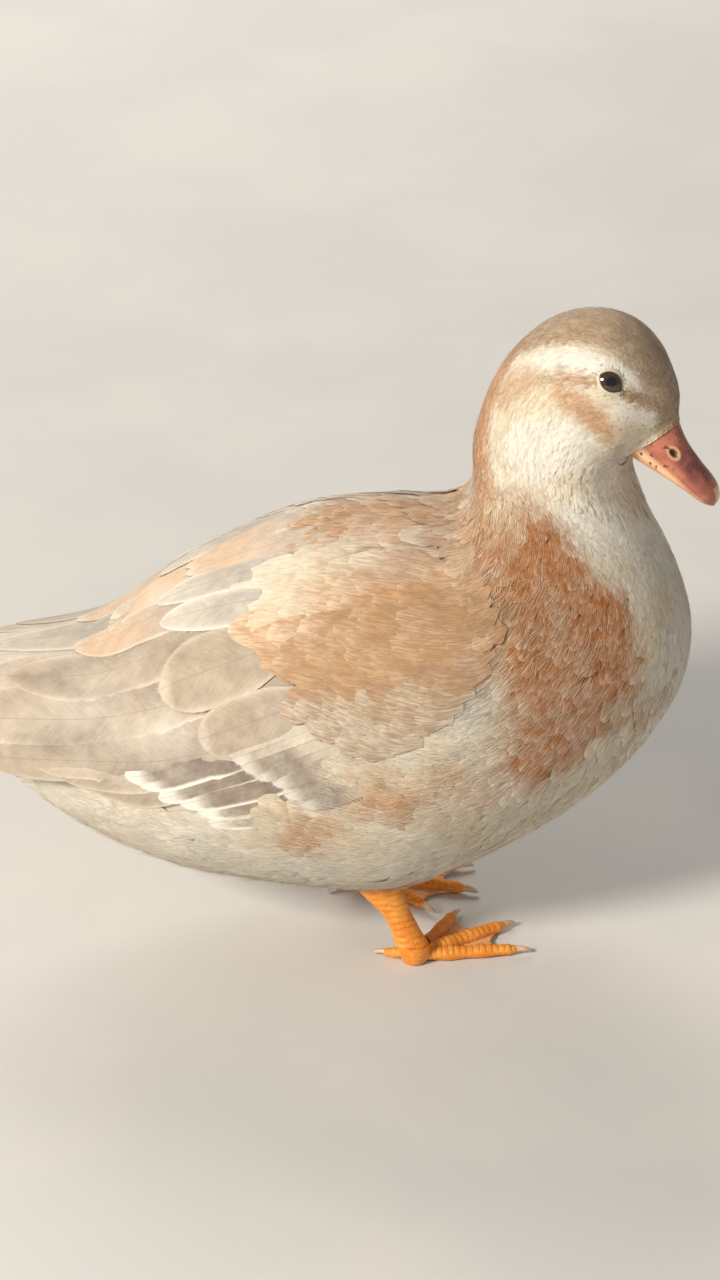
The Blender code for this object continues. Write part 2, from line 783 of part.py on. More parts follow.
def on_fan(reach, degrees, out):
    """A place on the spread tail, so far behind the point that its feathers fan from."""
    angle = math.radians(degrees)
    x = FAN_FROM[0] - reach * math.cos(angle)
    return Vector((x, reach * math.sin(angle), FAN_FROM[1] + FAN_RISE * reach + out))


def tail_feathers(obj, scratch):
    """The tail's own feathers, and the rows that cover their roots above and below."""
    pieces = bpy.data.collections.new("vanes")
    scratch.children.link(pieces)
    chance = random.Random(SEED + 1)
    for pairs, first, step, root, length, shorter, half, height in FAN_ROWS.values():
        for i in range(pairs):
            for side in (LEFT, RIGHT):
                spread = side * (first + step * i)
                out = height - FAN_STACK * (2 * i + (side == RIGHT))
                reach = length - shorter * i**1.5 + chance.uniform(-0.5, 0.5)
                mesh = vane(on_fan, (root, spread), (reach, spread), half, (out, out), 0)
                new_object("vane", mesh, None, pieces)
    tier(on_tail, UNDER_COVERTS, chance, pieces)
    feathered(obj, pieces)


def centre_over_origin(collection):
    """Sets the middle of the whole bird's length and width over the origin."""
    corners = [vertex.co for obj in collection.objects for vertex in obj.data.vertices]
    middle_of = [(min(c[i] for c in corners) + max(c[i] for c in corners)) / 2 for i in (0, 1)]
    for obj in collection.objects:
        obj.data.transform(Matrix.Translation((-middle_of[0], -middle_of[1], 0)))


def main():
    for obj in list(bpy.data.objects):
        bpy.data.objects.remove(obj)
    duck = bpy.data.collections.new("call_duck")
    scratch = bpy.data.collections.new("cutters")
    bpy.context.scene.collection.children.link(duck)
    bpy.context.scene.collection.children.link(scratch)

    cream = material("cream_coat", (0.80, 0.72, 0.60), 0.75)
    apricot = material("apricot_coat", (0.60, 0.36, 0.18), 0.75)
    fawn = material("fawn_coat", (0.42, 0.32, 0.22), 0.75)
    orange = material("leg_skin", (0.85, 0.36, 0.06), 0.5)
    horny = material("bill_skin", (0.80, 0.33, 0.16), 0.35)
    horn = material("claw_horn", (0.70, 0.60, 0.48), 0.4)
    eye_wet = material("eye", (0.04, 0.02, 0.015), 0.08)

    half = GAP / 2
    neck_point, neck_normal = plane_through(NECK_CUT)
    head_at, head_normal = plane_through(HEAD_CUT)
    tail_point = (TAIL_CUT_X, 0, 0)

    bm = flesh()
    cut(bm, neck_point, neck_normal, half)
    cut(bm, tail_point, (-1, 0, 0), half)
    torso = new_object("torso", mesh_from("torso", bm), apricot, duck)

    bm = flesh()
    cut(bm, neck_point, reverse(neck_normal), half)
    cut(bm, head_at, head_normal, half)
    new_object("neck", mesh_from("neck", bm), cream, duck)

    bm = flesh()
    cut(bm, head_at, reverse(head_normal), half)
    head = new_object("head", mesh_from("head", bm), fawn, duck)

    bm = flesh()
    cut(bm, tail_point, (1, 0, 0), half)
    tail = new_object("tail", mesh_from("tail", bm), cream, duck)

    tail_feathers(tail, scratch)
    keep_largest(tail)

    lids = bpy.data.collections.new("lids")
    scratch.children.link(lids)
    for side in (LEFT, RIGHT):
        lid(side, lids)
    apply_boolean(head, "UNION", collection=lids)
    for ring in list(lids.objects):
        bpy.data.objects.remove(ring)
    bpy.data.collections.remove(lids)
    for side, label in ((LEFT, "left"), (RIGHT, "right")):
        centre = eye_centre(side)
        sphere(f"eye_{label}", centre, EYE_RADIUS, 16, 10, eye_wet, duck)
        socket = sphere("socket", centre, EYE_RADIUS + SOCKET_GAP, 16, 10, None, scratch)
        apply_boolean(head, "DIFFERENCE", other=socket)
        bpy.data.objects.remove(socket)
    keep_largest(head)

    upper = loft([bill_ring(spline(BILL_UPPER, i / 2), 11, 0.9) for i in range(2 * len(BILL_UPPER) - 1)])
    upper = new_object("bill_upper", mesh_from("bill_upper", upper), horny, duck)
    for side in (LEFT, RIGHT):
        cutter = nostril(side, scratch)
        apply_boolean(upper, "DIFFERENCE", other=cutter)
        bpy.data.objects.remove(cutter)
    keep_largest(upper)
    lower_rings = []
    for i in range(2 * len(BILL_LOWER) - 1):
        top_a, top_u, low_a, low_u, wide = spline(BILL_LOWER, i / 2)
        lower_rings.append(bill_ring((low_a, low_u, top_a, top_u, wide), 9, 0.7))
    new_object("bill_lower", mesh_from("bill_lower", loft(lower_rings)), horny, duck)

    torso_room = grown("torso_room", torso, GAP + 0.05, scratch)
    tail_room = grown("tail_room", tail, GAP + 0.05, scratch)
    for side in (LEFT, RIGHT):
        folded = wing(side, duck, scratch, cream)
        apply_boolean(folded, "DIFFERENCE", other=torso_room)
        apply_boolean(folded, "DIFFERENCE", other=tail_room)
        keep_largest(folded)
        leg = shank(side, duck, orange)
        apply_boolean(leg, "DIFFERENCE", other=torso_room)
        keep_largest(leg)
        foot(side, duck, scratch, orange)
        claws(side, horn, duck)
    bpy.data.objects.remove(torso_room)
    bpy.data.objects.remove(tail_room)
    centre_over_origin(duck)


main()
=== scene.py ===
# A bantam call duck standing still, life size: skin, plumage, bill, eyes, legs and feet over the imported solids
import math

import bpy
import numpy as np
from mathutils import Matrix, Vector
from mathutils.kdtree import KDTree


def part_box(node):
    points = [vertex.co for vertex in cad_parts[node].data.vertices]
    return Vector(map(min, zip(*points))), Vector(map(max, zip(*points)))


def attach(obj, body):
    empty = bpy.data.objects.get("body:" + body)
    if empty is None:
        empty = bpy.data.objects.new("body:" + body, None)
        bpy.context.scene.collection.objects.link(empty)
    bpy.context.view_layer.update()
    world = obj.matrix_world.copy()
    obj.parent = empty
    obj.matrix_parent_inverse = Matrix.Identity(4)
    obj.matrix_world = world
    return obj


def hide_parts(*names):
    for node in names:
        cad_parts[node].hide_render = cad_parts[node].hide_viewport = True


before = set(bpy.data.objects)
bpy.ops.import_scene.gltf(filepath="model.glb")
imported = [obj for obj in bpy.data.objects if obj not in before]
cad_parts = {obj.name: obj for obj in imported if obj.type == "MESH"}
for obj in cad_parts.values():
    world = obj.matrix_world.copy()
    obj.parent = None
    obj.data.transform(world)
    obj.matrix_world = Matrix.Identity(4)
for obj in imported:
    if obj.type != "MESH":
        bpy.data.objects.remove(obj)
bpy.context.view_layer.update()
chance = np.random.default_rng(7)
print("frame loaded, now the body's own surface")

# Sizes are in millimetres until a mesh is made. Each row: back x, z, belly x, z, half width, level, head turn
body = {
    "sections": [
        (-141, 92, -140, 76, 9, 0.55, 0),
        (-131, 98, -130, 61, 20, 0.55, 0),
        (-117, 104, -115, 48.5, 28, 0.54, 0),
        (-100, 113, -98, 38.5, 37, 0.55, 0),
        (-82, 125.5, -80, 31, 47, 0.57, 0),
        (-64, 137, -62, 26, 54, 0.57, 0),
        (-30, 152.5, -30, 22.3, 62, 0.54, 0),
        (0, 156.5, 0, 21, 64, 0.53, 0),
        (16, 156.5, 24, 30, 62.5, 0.53, 0),
        (23, 158.5, 46, 41, 59, 0.52, 0),
        (26, 162, 68, 55, 54, 0.52, 0),
        (27.5, 167, 87, 73, 47.5, 0.52, 0),
        (28, 172, 100, 95, 40, 0.5, 0),
        (28, 176, 103, 116, 34, 0.48, 0.05),
        (28, 180, 97.5, 137, 29, 0.48, 0.2),
        (28.3, 184, 88.5, 155, 25.5, 0.48, 0.45),
        (29.5, 190, 81.5, 168, 24.2, 0.45, 0.75),
        (33, 201, 80.3, 171, 25, 0.42, 0.95),
        (40, 213.5, 80, 173, 25.8, 0.44, 1),
        (51, 224.5, 79.8, 175, 25.6, 0.48, 1),
        (64, 229.6, 79.6, 176.5, 24.6, 0.53, 1),
        (77.5, 228.5, 79.5, 178, 22.6, 0.54, 1),
        (88, 221.5, 79.5, 179, 19.3, 0.52, 1),
        (94.6, 211.5, 79.4, 180, 14.5, 0.48, 1),
        (97, 204.5, 79.4, 180.8, 11.2, 0.48, 1),
        (97.2, 198, 79.3, 181.4, 9.3, 0.42, 1),
        (98.1, 196.0, 79.6, 181.4, 9.1, 0.41, 1),
    ],
    "wingTipSections": [
        (-182, 100, -182, 66, 22, 0.5, 0),
        (-165, 102, -165, 66, 27, 0.52, 0),
        (-148, 104, -148, 64, 31.5, 0.52, 0),
        (-131, 106.5, -131, 60, 36, 0.54, 0),
        (-100, 113, -98, 46, 42, 0.58, 0),
    ],
    "fullness": 2.15,
    "headTurn": 20,
    "turnX": 66,
    "eyeLevel": (79.8, 215.4),
    "headPitch": 28,
    "wingEdges": [
        (-150, 14, 34),
        (-131, -6, 50),
        (-88, -13, 60),
        (-60, -22, 66),
        (-30, -14, 68),
        (0, 4, 68),
        (25, 18, 64),
        (46, 26, 54),
    ],
}
sections = np.array(body["sections"], float)
wingSections = np.vstack([np.array(body["wingTipSections"], float), sections[4:13]])
lastSection = len(sections) - 1
turnAngle = math.radians(body["headTurn"])
pitchAngle = math.radians(body["headPitch"])


def smooth(low, high, value):
    t = np.clip((value - low) / (high - low), 0, 1)
    return t * t * (3 - 2 * t)


def splineRows(rows, u):
    rows = np.asarray(rows, float)
    last = len(rows) - 1
    u = np.clip(np.asarray(u, float), 0, last)
    i = np.minimum(u.astype(int), last - 1)
    t = (u - i)[..., None]
    p, q = rows[np.maximum(i - 1, 0)], rows[i]
    r, s = rows[i + 1], rows[np.minimum(i + 2, last)]
    square, cube = 2 * p - 5 * q + 4 * r - s, 3 * q - p - 3 * r + s
    return 0.5 * (2 * q + (r - p) * t + square * t**2 + cube * t**3)


def turned(points, share=1.0):
    angle = -turnAngle * share
    x, y = points[..., 0] - body["turnX"], points[..., 1]
    turnedX = body["turnX"] + x * np.cos(angle) - y * np.sin(angle)
    return np.stack([turnedX, x * np.sin(angle) + y * np.cos(angle), points[..., 2]], -1)


# Points round sections, angle 0 at the left side and 90 degrees at the back.
def onSection(rows, angle, out, straight=False):
    backX, backZ, bellyX, bellyZ, half, level, turn = np.moveaxis(rows, -1, 0)
    upX, upZ = backX - bellyX, backZ - bellyZ
    height = np.hypot(upX, upZ)
    upX, upZ = upX / height, upZ / height
    cosine, sine = np.cos(angle), np.sin(angle)
    rise = np.where(sine >= 0, (1 - level) * height, level * height)
    power = 2 / body["fullness"]
    sideways = half * np.sign(cosine) * np.abs(cosine) ** power
    upwards = rise * np.sign(sine) * np.abs(sine) ** power
    normalX, normalY = cosine / half, sine / rise
    size = np.hypot(normalX, normalY)
    sideways = sideways + out * normalX / size
    upwards = upwards + out * normalY / size + level * height
    points = np.stack([bellyX + upX * upwards, sideways, bellyZ + upZ * upwards], -1)
    return points if straight else turned(points, turn)


def onBody(u, degrees, out):
    return onSection(splineRows(sections, u), np.radians(degrees), out)


# The same place on a bird that looks straight ahead, folded onto its right side.
def onStraightBody(u, degrees):
    points = onSection(splineRows(sections, u), np.radians(degrees), 0 * np.asarray(u, float), straight=True)
    points[..., 1] = -np.abs(points[..., 1])
    return points


def middleX(rows):
    return rows[..., 2] + (rows[..., 0] - rows[..., 2]) * rows[..., 5]


fineU = np.linspace(0, lastSection, 2001)
bodyX = middleX(splineRows(sections, fineU))
fineWingU = np.linspace(0, len(wingSections) - 1, 2001)
wingX = middleX(splineRows(wingSections, fineWingU))


def onWingSurface(x, degrees, out, side):
    points = onSection(splineRows(wingSections, np.interp(x, wingX, fineWingU)), np.radians(degrees), out)
    points[..., 1] *= side
    return points


def wingEdges(x):
    rows = np.array(body["wingEdges"], float)
    x = np.clip(x, rows[0, 0], rows[-1, 0] - 1e-6)
    i = np.clip(np.searchsorted(rows[:, 0], x, side="right") - 1, 0, len(rows) - 2)
    t = smooth(0, 1, (x - rows[i, 0]) / (rows[i + 1, 0] - rows[i, 0]))
    return rows[i, 1] + (rows[i + 1, 1] - rows[i, 1]) * t, rows[i, 2] + (rows[i + 1, 2] - rows[i, 2]) * t


# Degrees above the middle of the side, up to 90 on the back
def levelOf(degrees):
    return np.degrees(np.arcsin(np.clip(np.sin(np.radians(degrees)), -1, 1)))


# 1 where a folded wing covers the body, 0 clear of it.
def underWing(u, degrees):
    x = np.interp(u, fineU, bodyX)
    level = levelOf(degrees)
    low, high = wingEdges(x)
    across = smooth(0, 12, level - low + 4) * smooth(0, 12, high + 4 - level)
    return across * smooth(0, 16, 48 - x) * (u < 12)


# Head axes to the world: ahead along the bill, up through the crown, left.
def headPoint(ahead, up, left):
    ahead, up, left = np.broadcast_arrays(*(np.asarray(v, float) for v in (ahead, up, left)))
    x = body["eyeLevel"][0] + ahead * math.cos(pitchAngle) + up * math.sin(pitchAngle)
    z = body["eyeLevel"][1] - ahead * math.sin(pitchAngle) + up * math.cos(pitchAngle)
    return turned(np.stack([x, left, z], -1))


# The ball, where it sits, the open lids' half width and height, their corner ahead, and the lids' edge:
# millimetres out from the opening and above the ball
eyes = {
    "radius": 6.5,
    "bulge": 0.12,
    "surface": 19.8,
    "way": (0.26, 0.6),
    "rim": 4.75,
    "clear": 0.55,
    "opening": (3.6, 2.8),
    "corner": 0.75,
    "backCorner": 0.25,
    "pupil": (1.6, 1.95),
    "lidEdge": (0.38, 0.55),
    "lids": [
        (-0.1, -0.2),
        (0.0, 0.05),
        (0.05, 0.16),
        (0.15, 0.2),
        (0.3, 0.16),
        (0.5, 0.09),
        (0.9, 0.06),
        (1.5, 0.06),
        (2.3, 0.05),
    ],
}


def unit(vectors):
    return vectors / np.maximum(np.linalg.norm(vectors, axis=-1, keepdims=True), 1e-9)


def eyeWay(side):
    return unit(headPoint(*eyes["way"], side) - headPoint(0, 0, 0))


def eyeDepth():
    return math.sqrt((eyes["radius"] + eyes["clear"]) ** 2 - eyes["rim"] ** 2)


def eyeCentre(side):
    return headPoint(0, 0, side * eyes["surface"]) - eyeWay(side) * eyeDepth()


def eyeAxes(side):
    way = eyeWay(side)
    ahead = headPoint(1, 0, 0) - headPoint(0, 0, 0)
    ahead = unit(ahead - way * (ahead @ way))
    up = np.cross(way, ahead) * side
    return way, ahead, up * np.sign(up[2])


# The edge of the open lids: longer than high, with a corner ahead
def lidOpening(angle):
    wide, high = eyes["opening"]
    oval = wide * high / np.sqrt((high * np.cos(angle)) ** 2 + (wide * np.sin(angle)) ** 2)
    near = (angle + math.pi) % (2 * math.pi) - math.pi
    back = angle % (2 * math.pi) - math.pi
    ahead = eyes["corner"] * np.exp(-((near + 0.12) ** 2) / 0.05)
    return oval + ahead + eyes["backCorner"] * np.exp(-(back**2) / 0.06)


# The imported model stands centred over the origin, so all points move ahead by as much as its eye did
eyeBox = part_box("eye_left")
shift = np.array([(eyeBox[0].x + eyeBox[1].x) * 500 - eyeCentre(1)[0], 0.0, 0.0])


def gridTriangles(rows, columns, wrap=False):
    i, j = np.meshgrid(np.arange(rows - 1), np.arange(columns if wrap else columns - 1), indexing="ij")
    i, j = i.ravel(), j.ravel()
    k = (j + 1) % columns
    a, b = i * columns + j, i * columns + k
    c, d = (i + 1) * columns + k, (i + 1) * columns + j
    return np.vstack([np.column_stack([a, b, c]), np.column_stack([a, c, d])])


# The normal of a surface given by two coordinates and a height
def outwardNormal(surface, a, b, step):
    pa = surface(a + step, b, 0 * a) - surface(a - step, b, 0 * a)
    pb = surface(a, b + 1.0, 0 * a) - surface(a, b - 1.0, 0 * a)
    normal = unit(np.cross(pb, pa))
    outer = surface(a, b, 0 * a + 1) - surface(a, b, 0 * a)
    return normal * np.sign(np.einsum("...i,...i->...", normal, outer))[..., None]


def gridNormals(points):
    along = np.gradient(points, axis=0)
    across = np.gradient(points, axis=1)
    return unit(np.cross(along, across))


# Turns triangles to face outwards, and mixes their normals with those of the body under them
def softened(points, triangles, towards, share):
    p = points[triangles]
    own = np.cross(p[:, 1] - p[:, 0], p[:, 2] - p[:, 0])
    inward = np.einsum("ij,ij->i", own, towards[triangles[:, 0]]) < 0
    triangles[inward] = triangles[inward][:, ::-1]
    own[inward] *= -1
    summed = np.stack(
        [
            np.bincount(triangles.ravel(), weights=np.repeat(own[:, axis], 3), minlength=len(points))
            for axis in range(3)
        ],
        -1,
    )
    return unit(unit(summed) * (1 - share) + towards * share)


# A mesh from points in millimetres, its triangles, named values on its points, and its unwrap
def makePiece(name, points, triangles, material, marks=None, unwrap=None, normals=None):
    points = (np.asarray(points, float).reshape(-1, 3) + shift) * 0.001
    triangles = np.asarray(triangles, np.int32)
    mesh = bpy.data.meshes.new(name)
    mesh.vertices.add(len(points))
    mesh.vertices.foreach_set("co", points.ravel().astype(np.float32))
    mesh.loops.add(triangles.size)
    mesh.loops.foreach_set("vertex_index", triangles.ravel())
    mesh.polygons.add(len(triangles))
    mesh.polygons.foreach_set("loop_start", np.arange(0, triangles.size, 3, dtype=np.int32))
    mesh.update(calc_edges=True)
    mesh.polygons.foreach_set("use_smooth", np.ones(len(triangles), bool))
    for key, values in (marks or {}).items():
        values = np.asarray(values, np.float32)
        kind, field = ("FLOAT_VECTOR", "vector") if values.ndim == 2 else ("FLOAT", "value")
        mesh.attributes.new(key, kind, "POINT").data.foreach_set(field, values.ravel())
    if unwrap is not None:
        layer = mesh.uv_layers.new(name="OFBake")
        layer.data.foreach_set("uv", np.asarray(unwrap, np.float32)[triangles.ravel()].ravel())
    if normals is not None:
        mesh.normals_split_custom_set_from_vertices(normals.astype(np.float32))
    mesh.materials.append(material)
    piece = bpy.data.objects.new(name, mesh)
    bpy.context.scene.collection.objects.link(piece)
    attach(piece, "root")
    return piece


# Turns all triangles of a closed form round when they face inwards.
def outwardFirst(points, triangles):
    p = np.asarray(points, float).reshape(-1, 3)
    a, b, c = p[triangles[:, 0]], p[triangles[:, 1]], p[triangles[:, 2]]
    volume = np.einsum("ij,ij->i", a, np.cross(b, c)).sum()
    return triangles if volume > 0 else triangles[:, ::-1]


print("surface ready, now the materials")


# Shader node groups, each built once
def newGroup(name, inputs, outputs):
    group = bpy.data.node_groups.new(name, "ShaderNodeTree")
    for label, kind, value in inputs:
        socket = group.interface.new_socket(label, in_out="INPUT", socket_type=kind)
        socket.default_value = value
    for label, kind in outputs:
        group.interface.new_socket(label, in_out="OUTPUT", socket_type=kind)
    return group, group.nodes.new("NodeGroupInput"), group.nodes.new("NodeGroupOutput")


# Short calls for the nodes of one tree
class Wiring:
    def __init__(self, tree):
        self.tree = tree

    def link(self, value, socket):
        if hasattr(value, "links"):
            self.tree.links.new(value, socket)
        else:
            socket.default_value = value

    def math(self, operation, *values, clamp=False):
        node = self.tree.nodes.new("ShaderNodeMath")
        node.operation = operation
        node.use_clamp = clamp
        for value, socket in zip(values, node.inputs):
            self.link(value, socket)
        return node.outputs[0]

    def mix(self, share, one, other, blend="MIX"):
        node = self.tree.nodes.new("ShaderNodeMix")
        node.data_type = "RGBA"
        node.blend_type = blend
        for value, index in ((share, 0), (one, 6), (other, 7)):
            self.link(value, node.inputs[index])
        return node.outputs[2]

    def noise(self, vector, scale, detail=3.0, rough=0.5):
        node = self.tree.nodes.new("ShaderNodeTexNoise")
        self.link(vector, node.inputs["Vector"])
        node.inputs["Scale"].default_value = scale
        node.inputs["Detail"].default_value = detail
        node.inputs["Roughness"].default_value = rough
        return node.outputs["Fac"]

    def span(self, value, low, high, first=0.0, last=1.0):
        node = self.tree.nodes.new("ShaderNodeMapRange")
        node.interpolation_type = "SMOOTHSTEP"
        for item, index in ((value, 0), (low, 1), (high, 2), (first, 3), (last, 4)):
            self.link(item, node.inputs[index])
        return node.outputs[0]

    def group(self, group, **values):
        node = self.tree.nodes.new("ShaderNodeGroup")
        node.node_tree = group
        for label, value in values.items():
            self.link(value, node.inputs[label])
        return node.outputs

    def attribute(self, name):
        node = self.tree.nodes.new("ShaderNodeAttribute")
        node.attribute_name = name
        return node.outputs


# One coat's colour from its named marks, mottled a little and streaked along each feather.
def buildPlumageColour():
    colours = ["Cream", "White", "Apricot", "Rust", "Fawn", "Dark", "Grey"]
    inputs = [(label, "NodeSocketColor", (0.5, 0.5, 0.5, 1)) for label in colours]
    inputs += [(label + "Share", "NodeSocketFloat", 0.0) for label in colours[1:]]
    inputs += [
        ("Place", "NodeSocketVector", (0, 0, 0)),
        ("Tone", "NodeSocketFloat", 0.5),
        ("Streak", "NodeSocketFloat", 0.0),
        ("Comb", "NodeSocketFloat", 0.8),
        ("ToneRange", "NodeSocketFloat", 0.2),
        ("StreakDepth", "NodeSocketFloat", 0.2),
    ]
    group, start, end = newGroup("plumageColour", inputs, [("Color", "NodeSocketColor")])
    w, value = Wiring(group), start.outputs
    mottle = w.noise(value["Place"], 160.0, 4.0, 0.6)
    wide = w.noise(value["Place"], 38.0, 3.0, 0.5)
    colour = w.mix(w.span(wide, 0.35, 0.7, 0.0, 0.55), value["Cream"], value["White"])
    for label in ("White", "Apricot", "Grey", "Rust", "Fawn", "Dark"):
        share = w.math("MULTIPLY", value[label + "Share"], w.span(mottle, 0.2, 0.75, 1.12, 0.82), clamp=True)
        between = w.math("MULTIPLY", share, w.math("SUBTRACT", 4.0, w.math("MULTIPLY", share, 4.0)))
        combing = w.math("MULTIPLY", w.math("SUBTRACT", value["Streak"], 0.5), value["Comb"])
        share = w.math("MULTIPLY_ADD", between, combing, share, clamp=True)
        colour = w.mix(share, colour, value[label])
    tone = w.math("MULTIPLY_ADD", w.math("SUBTRACT", value["Tone"], 0.5), value["ToneRange"], 1.0)
    # The darker streaks are partly the strands' own uneven tone, partly painted shade in the gaps between strands
    depth = w.math("SUBTRACT", 1.0, w.math("MULTIPLY", value["Streak"], value["StreakDepth"]))
    light = w.math("MULTIPLY", w.math("MULTIPLY", tone, depth), w.span(mottle, 0.2, 0.8, 0.94, 1.05))
    grey = group.nodes.new("ShaderNodeCombineColor")
    for socket in grey.inputs[:3]:
        w.link(light, socket)
    w.link(w.mix(1.0, colour, grey.outputs[0], "MULTIPLY"), end.inputs["Color"])
    return group


# Fine strands that fan out along a small feather
def buildStrands():
    inputs = [
        ("Fan", "NodeSocketFloat", 0.0),
        ("Along", "NodeSocketFloat", 0.0),
        ("Tone", "NodeSocketFloat", 0.5),
        ("Fineness", "NodeSocketFloat", 9.0),
    ]
    group, start, end = newGroup("strands", inputs, [("Strand", "NodeSocketFloat")])
    w, value = Wiring(group), start.outputs
    place = group.nodes.new("ShaderNodeCombineXYZ")
    w.link(w.math("MULTIPLY", value["Fan"], value["Fineness"]), place.inputs[0])
    w.link(w.math("MULTIPLY", value["Along"], 0.16), place.inputs[1])
    w.link(w.math("MULTIPLY", value["Tone"], 31.0), place.inputs[2])
    w.link(w.span(w.noise(place.outputs[0], 1.0, 2.0, 0.6), 0.32, 0.68), end.inputs["Strand"])
    return group


# Lines that slant back from a feather's shaft to both edges, and the shaft itself
def buildBarbs():
    inputs = [
        ("Across", "NodeSocketFloat", 0.0),
        ("Along", "NodeSocketFloat", 0.0),
        ("Place", "NodeSocketVector", (0, 0, 0)),
        ("Pitch", "NodeSocketFloat", 1.0),
        ("Slant", "NodeSocketFloat", 1.1),
        ("ShaftWidth", "NodeSocketFloat", 0.3),
    ]
    group, start, end = newGroup("barbs", inputs, [("Line", "NodeSocketFloat"), ("Shaft", "NodeSocketFloat")])
    w, value = Wiring(group), start.outputs
    wander = w.math("MULTIPLY", w.noise(value["Place"], 420.0, 3.0, 0.6), 2.2)
    aside = w.math("ABSOLUTE", value["Across"])
    slanted = w.math("SUBTRACT", w.math("MULTIPLY", aside, value["Slant"]), value["Along"])
    turns = w.math("ADD", w.math("DIVIDE", slanted, value["Pitch"]), wander)
    place = group.nodes.new("ShaderNodeCombineXYZ")
    w.link(turns, place.inputs[0])
    w.link(w.math("MULTIPLY", aside, 0.2), place.inputs[1])
    w.link(w.span(w.noise(place.outputs[0], 1.0, 2.0, 0.6), 0.3, 0.7), end.inputs["Line"])
    edge = w.math("MULTIPLY", value["ShaftWidth"], 0.4)
    w.link(w.span(aside, edge, value["ShaftWidth"], 1.0, 0.0), end.inputs["Shaft"])
    return group


# Fine and coarse unevenness for skin, horn and floor, as a mask and as a height.
def buildGrain():
    inputs = [
        ("Place", "NodeSocketVector", (0, 0, 0)),
        ("Coarse", "NodeSocketFloat", 120.0),
        ("Fine", "NodeSocketFloat", 900.0),
        ("FineShare", "NodeSocketFloat", 0.4),
    ]
    group, start, end = newGroup("grain", inputs, [("Mask", "NodeSocketFloat"), ("Height", "NodeSocketFloat")])
    w, value = Wiring(group), start.outputs
    layers = []
    for label in ("Coarse", "Fine"):
        node = group.nodes.new("ShaderNodeTexNoise")
        w.link(value["Place"], node.inputs["Vector"])
        w.link(value[label], node.inputs["Scale"])
        node.inputs["Detail"].default_value = 5.0
        layers.append(node.outputs["Fac"])
    w.link(w.span(layers[0], 0.38, 0.64), end.inputs["Mask"])
    fine = w.math("MULTIPLY", layers[1], value["FineShare"])
    w.link(w.math("ADD", layers[0], fine), end.inputs["Height"])
    return group


plumageColour, barbs, strands, grain = buildPlumageColour(), buildBarbs(), buildStrands(), buildGrain()


def newMaterial(name, roughness, **settings):
    material = bpy.data.materials.new(name)
    material.use_nodes = True
    shader = material.node_tree.nodes["Principled BSDF"]
    shader.inputs["Roughness"].default_value = roughness
    for label, value in settings.items():
        shader.inputs[label.replace("_", " ")].default_value = value
    w = Wiring(material.node_tree)
    place = material.node_tree.nodes.new("ShaderNodeTexCoord").outputs["Object"]
    return material, shader, w, place


def addBump(w, shader, height, strength, distance):
    bump = w.tree.nodes.new("ShaderNodeBump")
    bump.inputs["Strength"].default_value = strength
    bump.inputs["Distance"].default_value = distance
    w.link(height, bump.inputs["Height"])
    w.link(bump.outputs[0], shader.inputs["Normal"])


plumage = {
    "Cream": (0.78, 0.66, 0.47, 1),
    "White": (0.88, 0.83, 0.73, 1),
    "Apricot": (0.59, 0.31, 0.14, 1),
    "Rust": (0.53, 0.19, 0.045, 1),
    "Fawn": (0.42, 0.265, 0.14, 1),
    "Dark": (0.13, 0.062, 0.028, 1),
    "Grey": (0.25, 0.20, 0.165, 1),
}
markNames = ["White", "Apricot", "Rust", "Fawn", "Dark", "Grey"]


def finishPlumage(material, shader, w, place, along, streak, shaft, finish):
    marks = {label + "Share": w.attribute(label.lower())["Fac"] for label in markNames}
    colour = w.group(
        plumageColour,
        Place=place,
        Tone=along[2],
        Streak=streak,
        Comb=finish["comb"],
        ToneRange=finish["toneRange"],
        StreakDepth=finish["streakDepth"],
        **plumage,
        **marks,
    )["Color"]
    if shaft is not None:
        colour = w.mix(w.math("MULTIPLY", shaft, finish["shaftShade"]), colour, (0.22, 0.13, 0.07, 1))
    w.link(colour, shader.inputs["Base Color"])
    addBump(w, shader, streak, finish["bump"], 0.0003)
    return material


def featherAxes(name, sheen):
    material, shader, w, place = newMaterial(name, 0.6, Sheen_Weight=sheen, Sheen_Roughness=0.5)
    shader.inputs["Specular IOR Level"].default_value = 0.3
    along = material.node_tree.nodes.new("ShaderNodeSeparateXYZ")
    w.link(w.attribute("feather")["Vector"], along.inputs[0])
    return material, shader, w, place, along.outputs


# Small feathers: colours comb into each other along strands that fan out from the root
finishNames = ["fineness", "comb", "toneRange", "streakDepth", "bump", "sheen"]
softFinish = {
    "headPlumage": (5.0, 0.6, 0.14, 0.12, 0.2, 0.2),
    "bodyPlumage": (8.0, 0.45, 0.12, 0.26, 0.5, 0.15),
    "backPlumage": (8.0, 0.3, 0.12, 0.2, 0.35, 0.15),
    "shoulderPlumage": (9.0, 0.3, 0.1, 0.15, 0.3, 0.15),
}


def softPlumage(name):
    finish = dict(zip(finishNames, softFinish[name]))
    material, shader, w, place, along = featherAxes(name, finish["sheen"])
    fan = w.group(strands, Fan=along[0], Along=along[1], Tone=along[2], Fineness=finish["fineness"])
    return finishPlumage(material, shader, w, place, along, fan["Strand"], None, finish)


# Vanes: the same colours along slanted barbs, and a dark shaft
vaneFinish = {"pitch": 0.7, "slant": 1.1, "shaftWidth": 0.22, "shaftShade": 0.3, "comb": 0.09}
vaneFinish |= {"toneRange": 0.2, "streakDepth": 0.045, "bump": 0.1, "sheen": 0.15}


def vanePlumage(name):
    material, shader, w, place, along = featherAxes(name, vaneFinish["sheen"])
    sizes = {"Pitch": vaneFinish["pitch"], "Slant": vaneFinish["slant"], "ShaftWidth": vaneFinish["shaftWidth"]}
    lines = w.group(barbs, Across=along[0], Along=along[1], Place=place, **sizes)
    return finishPlumage(material, shader, w, place, along, lines["Line"], lines["Shaft"], vaneFinish)


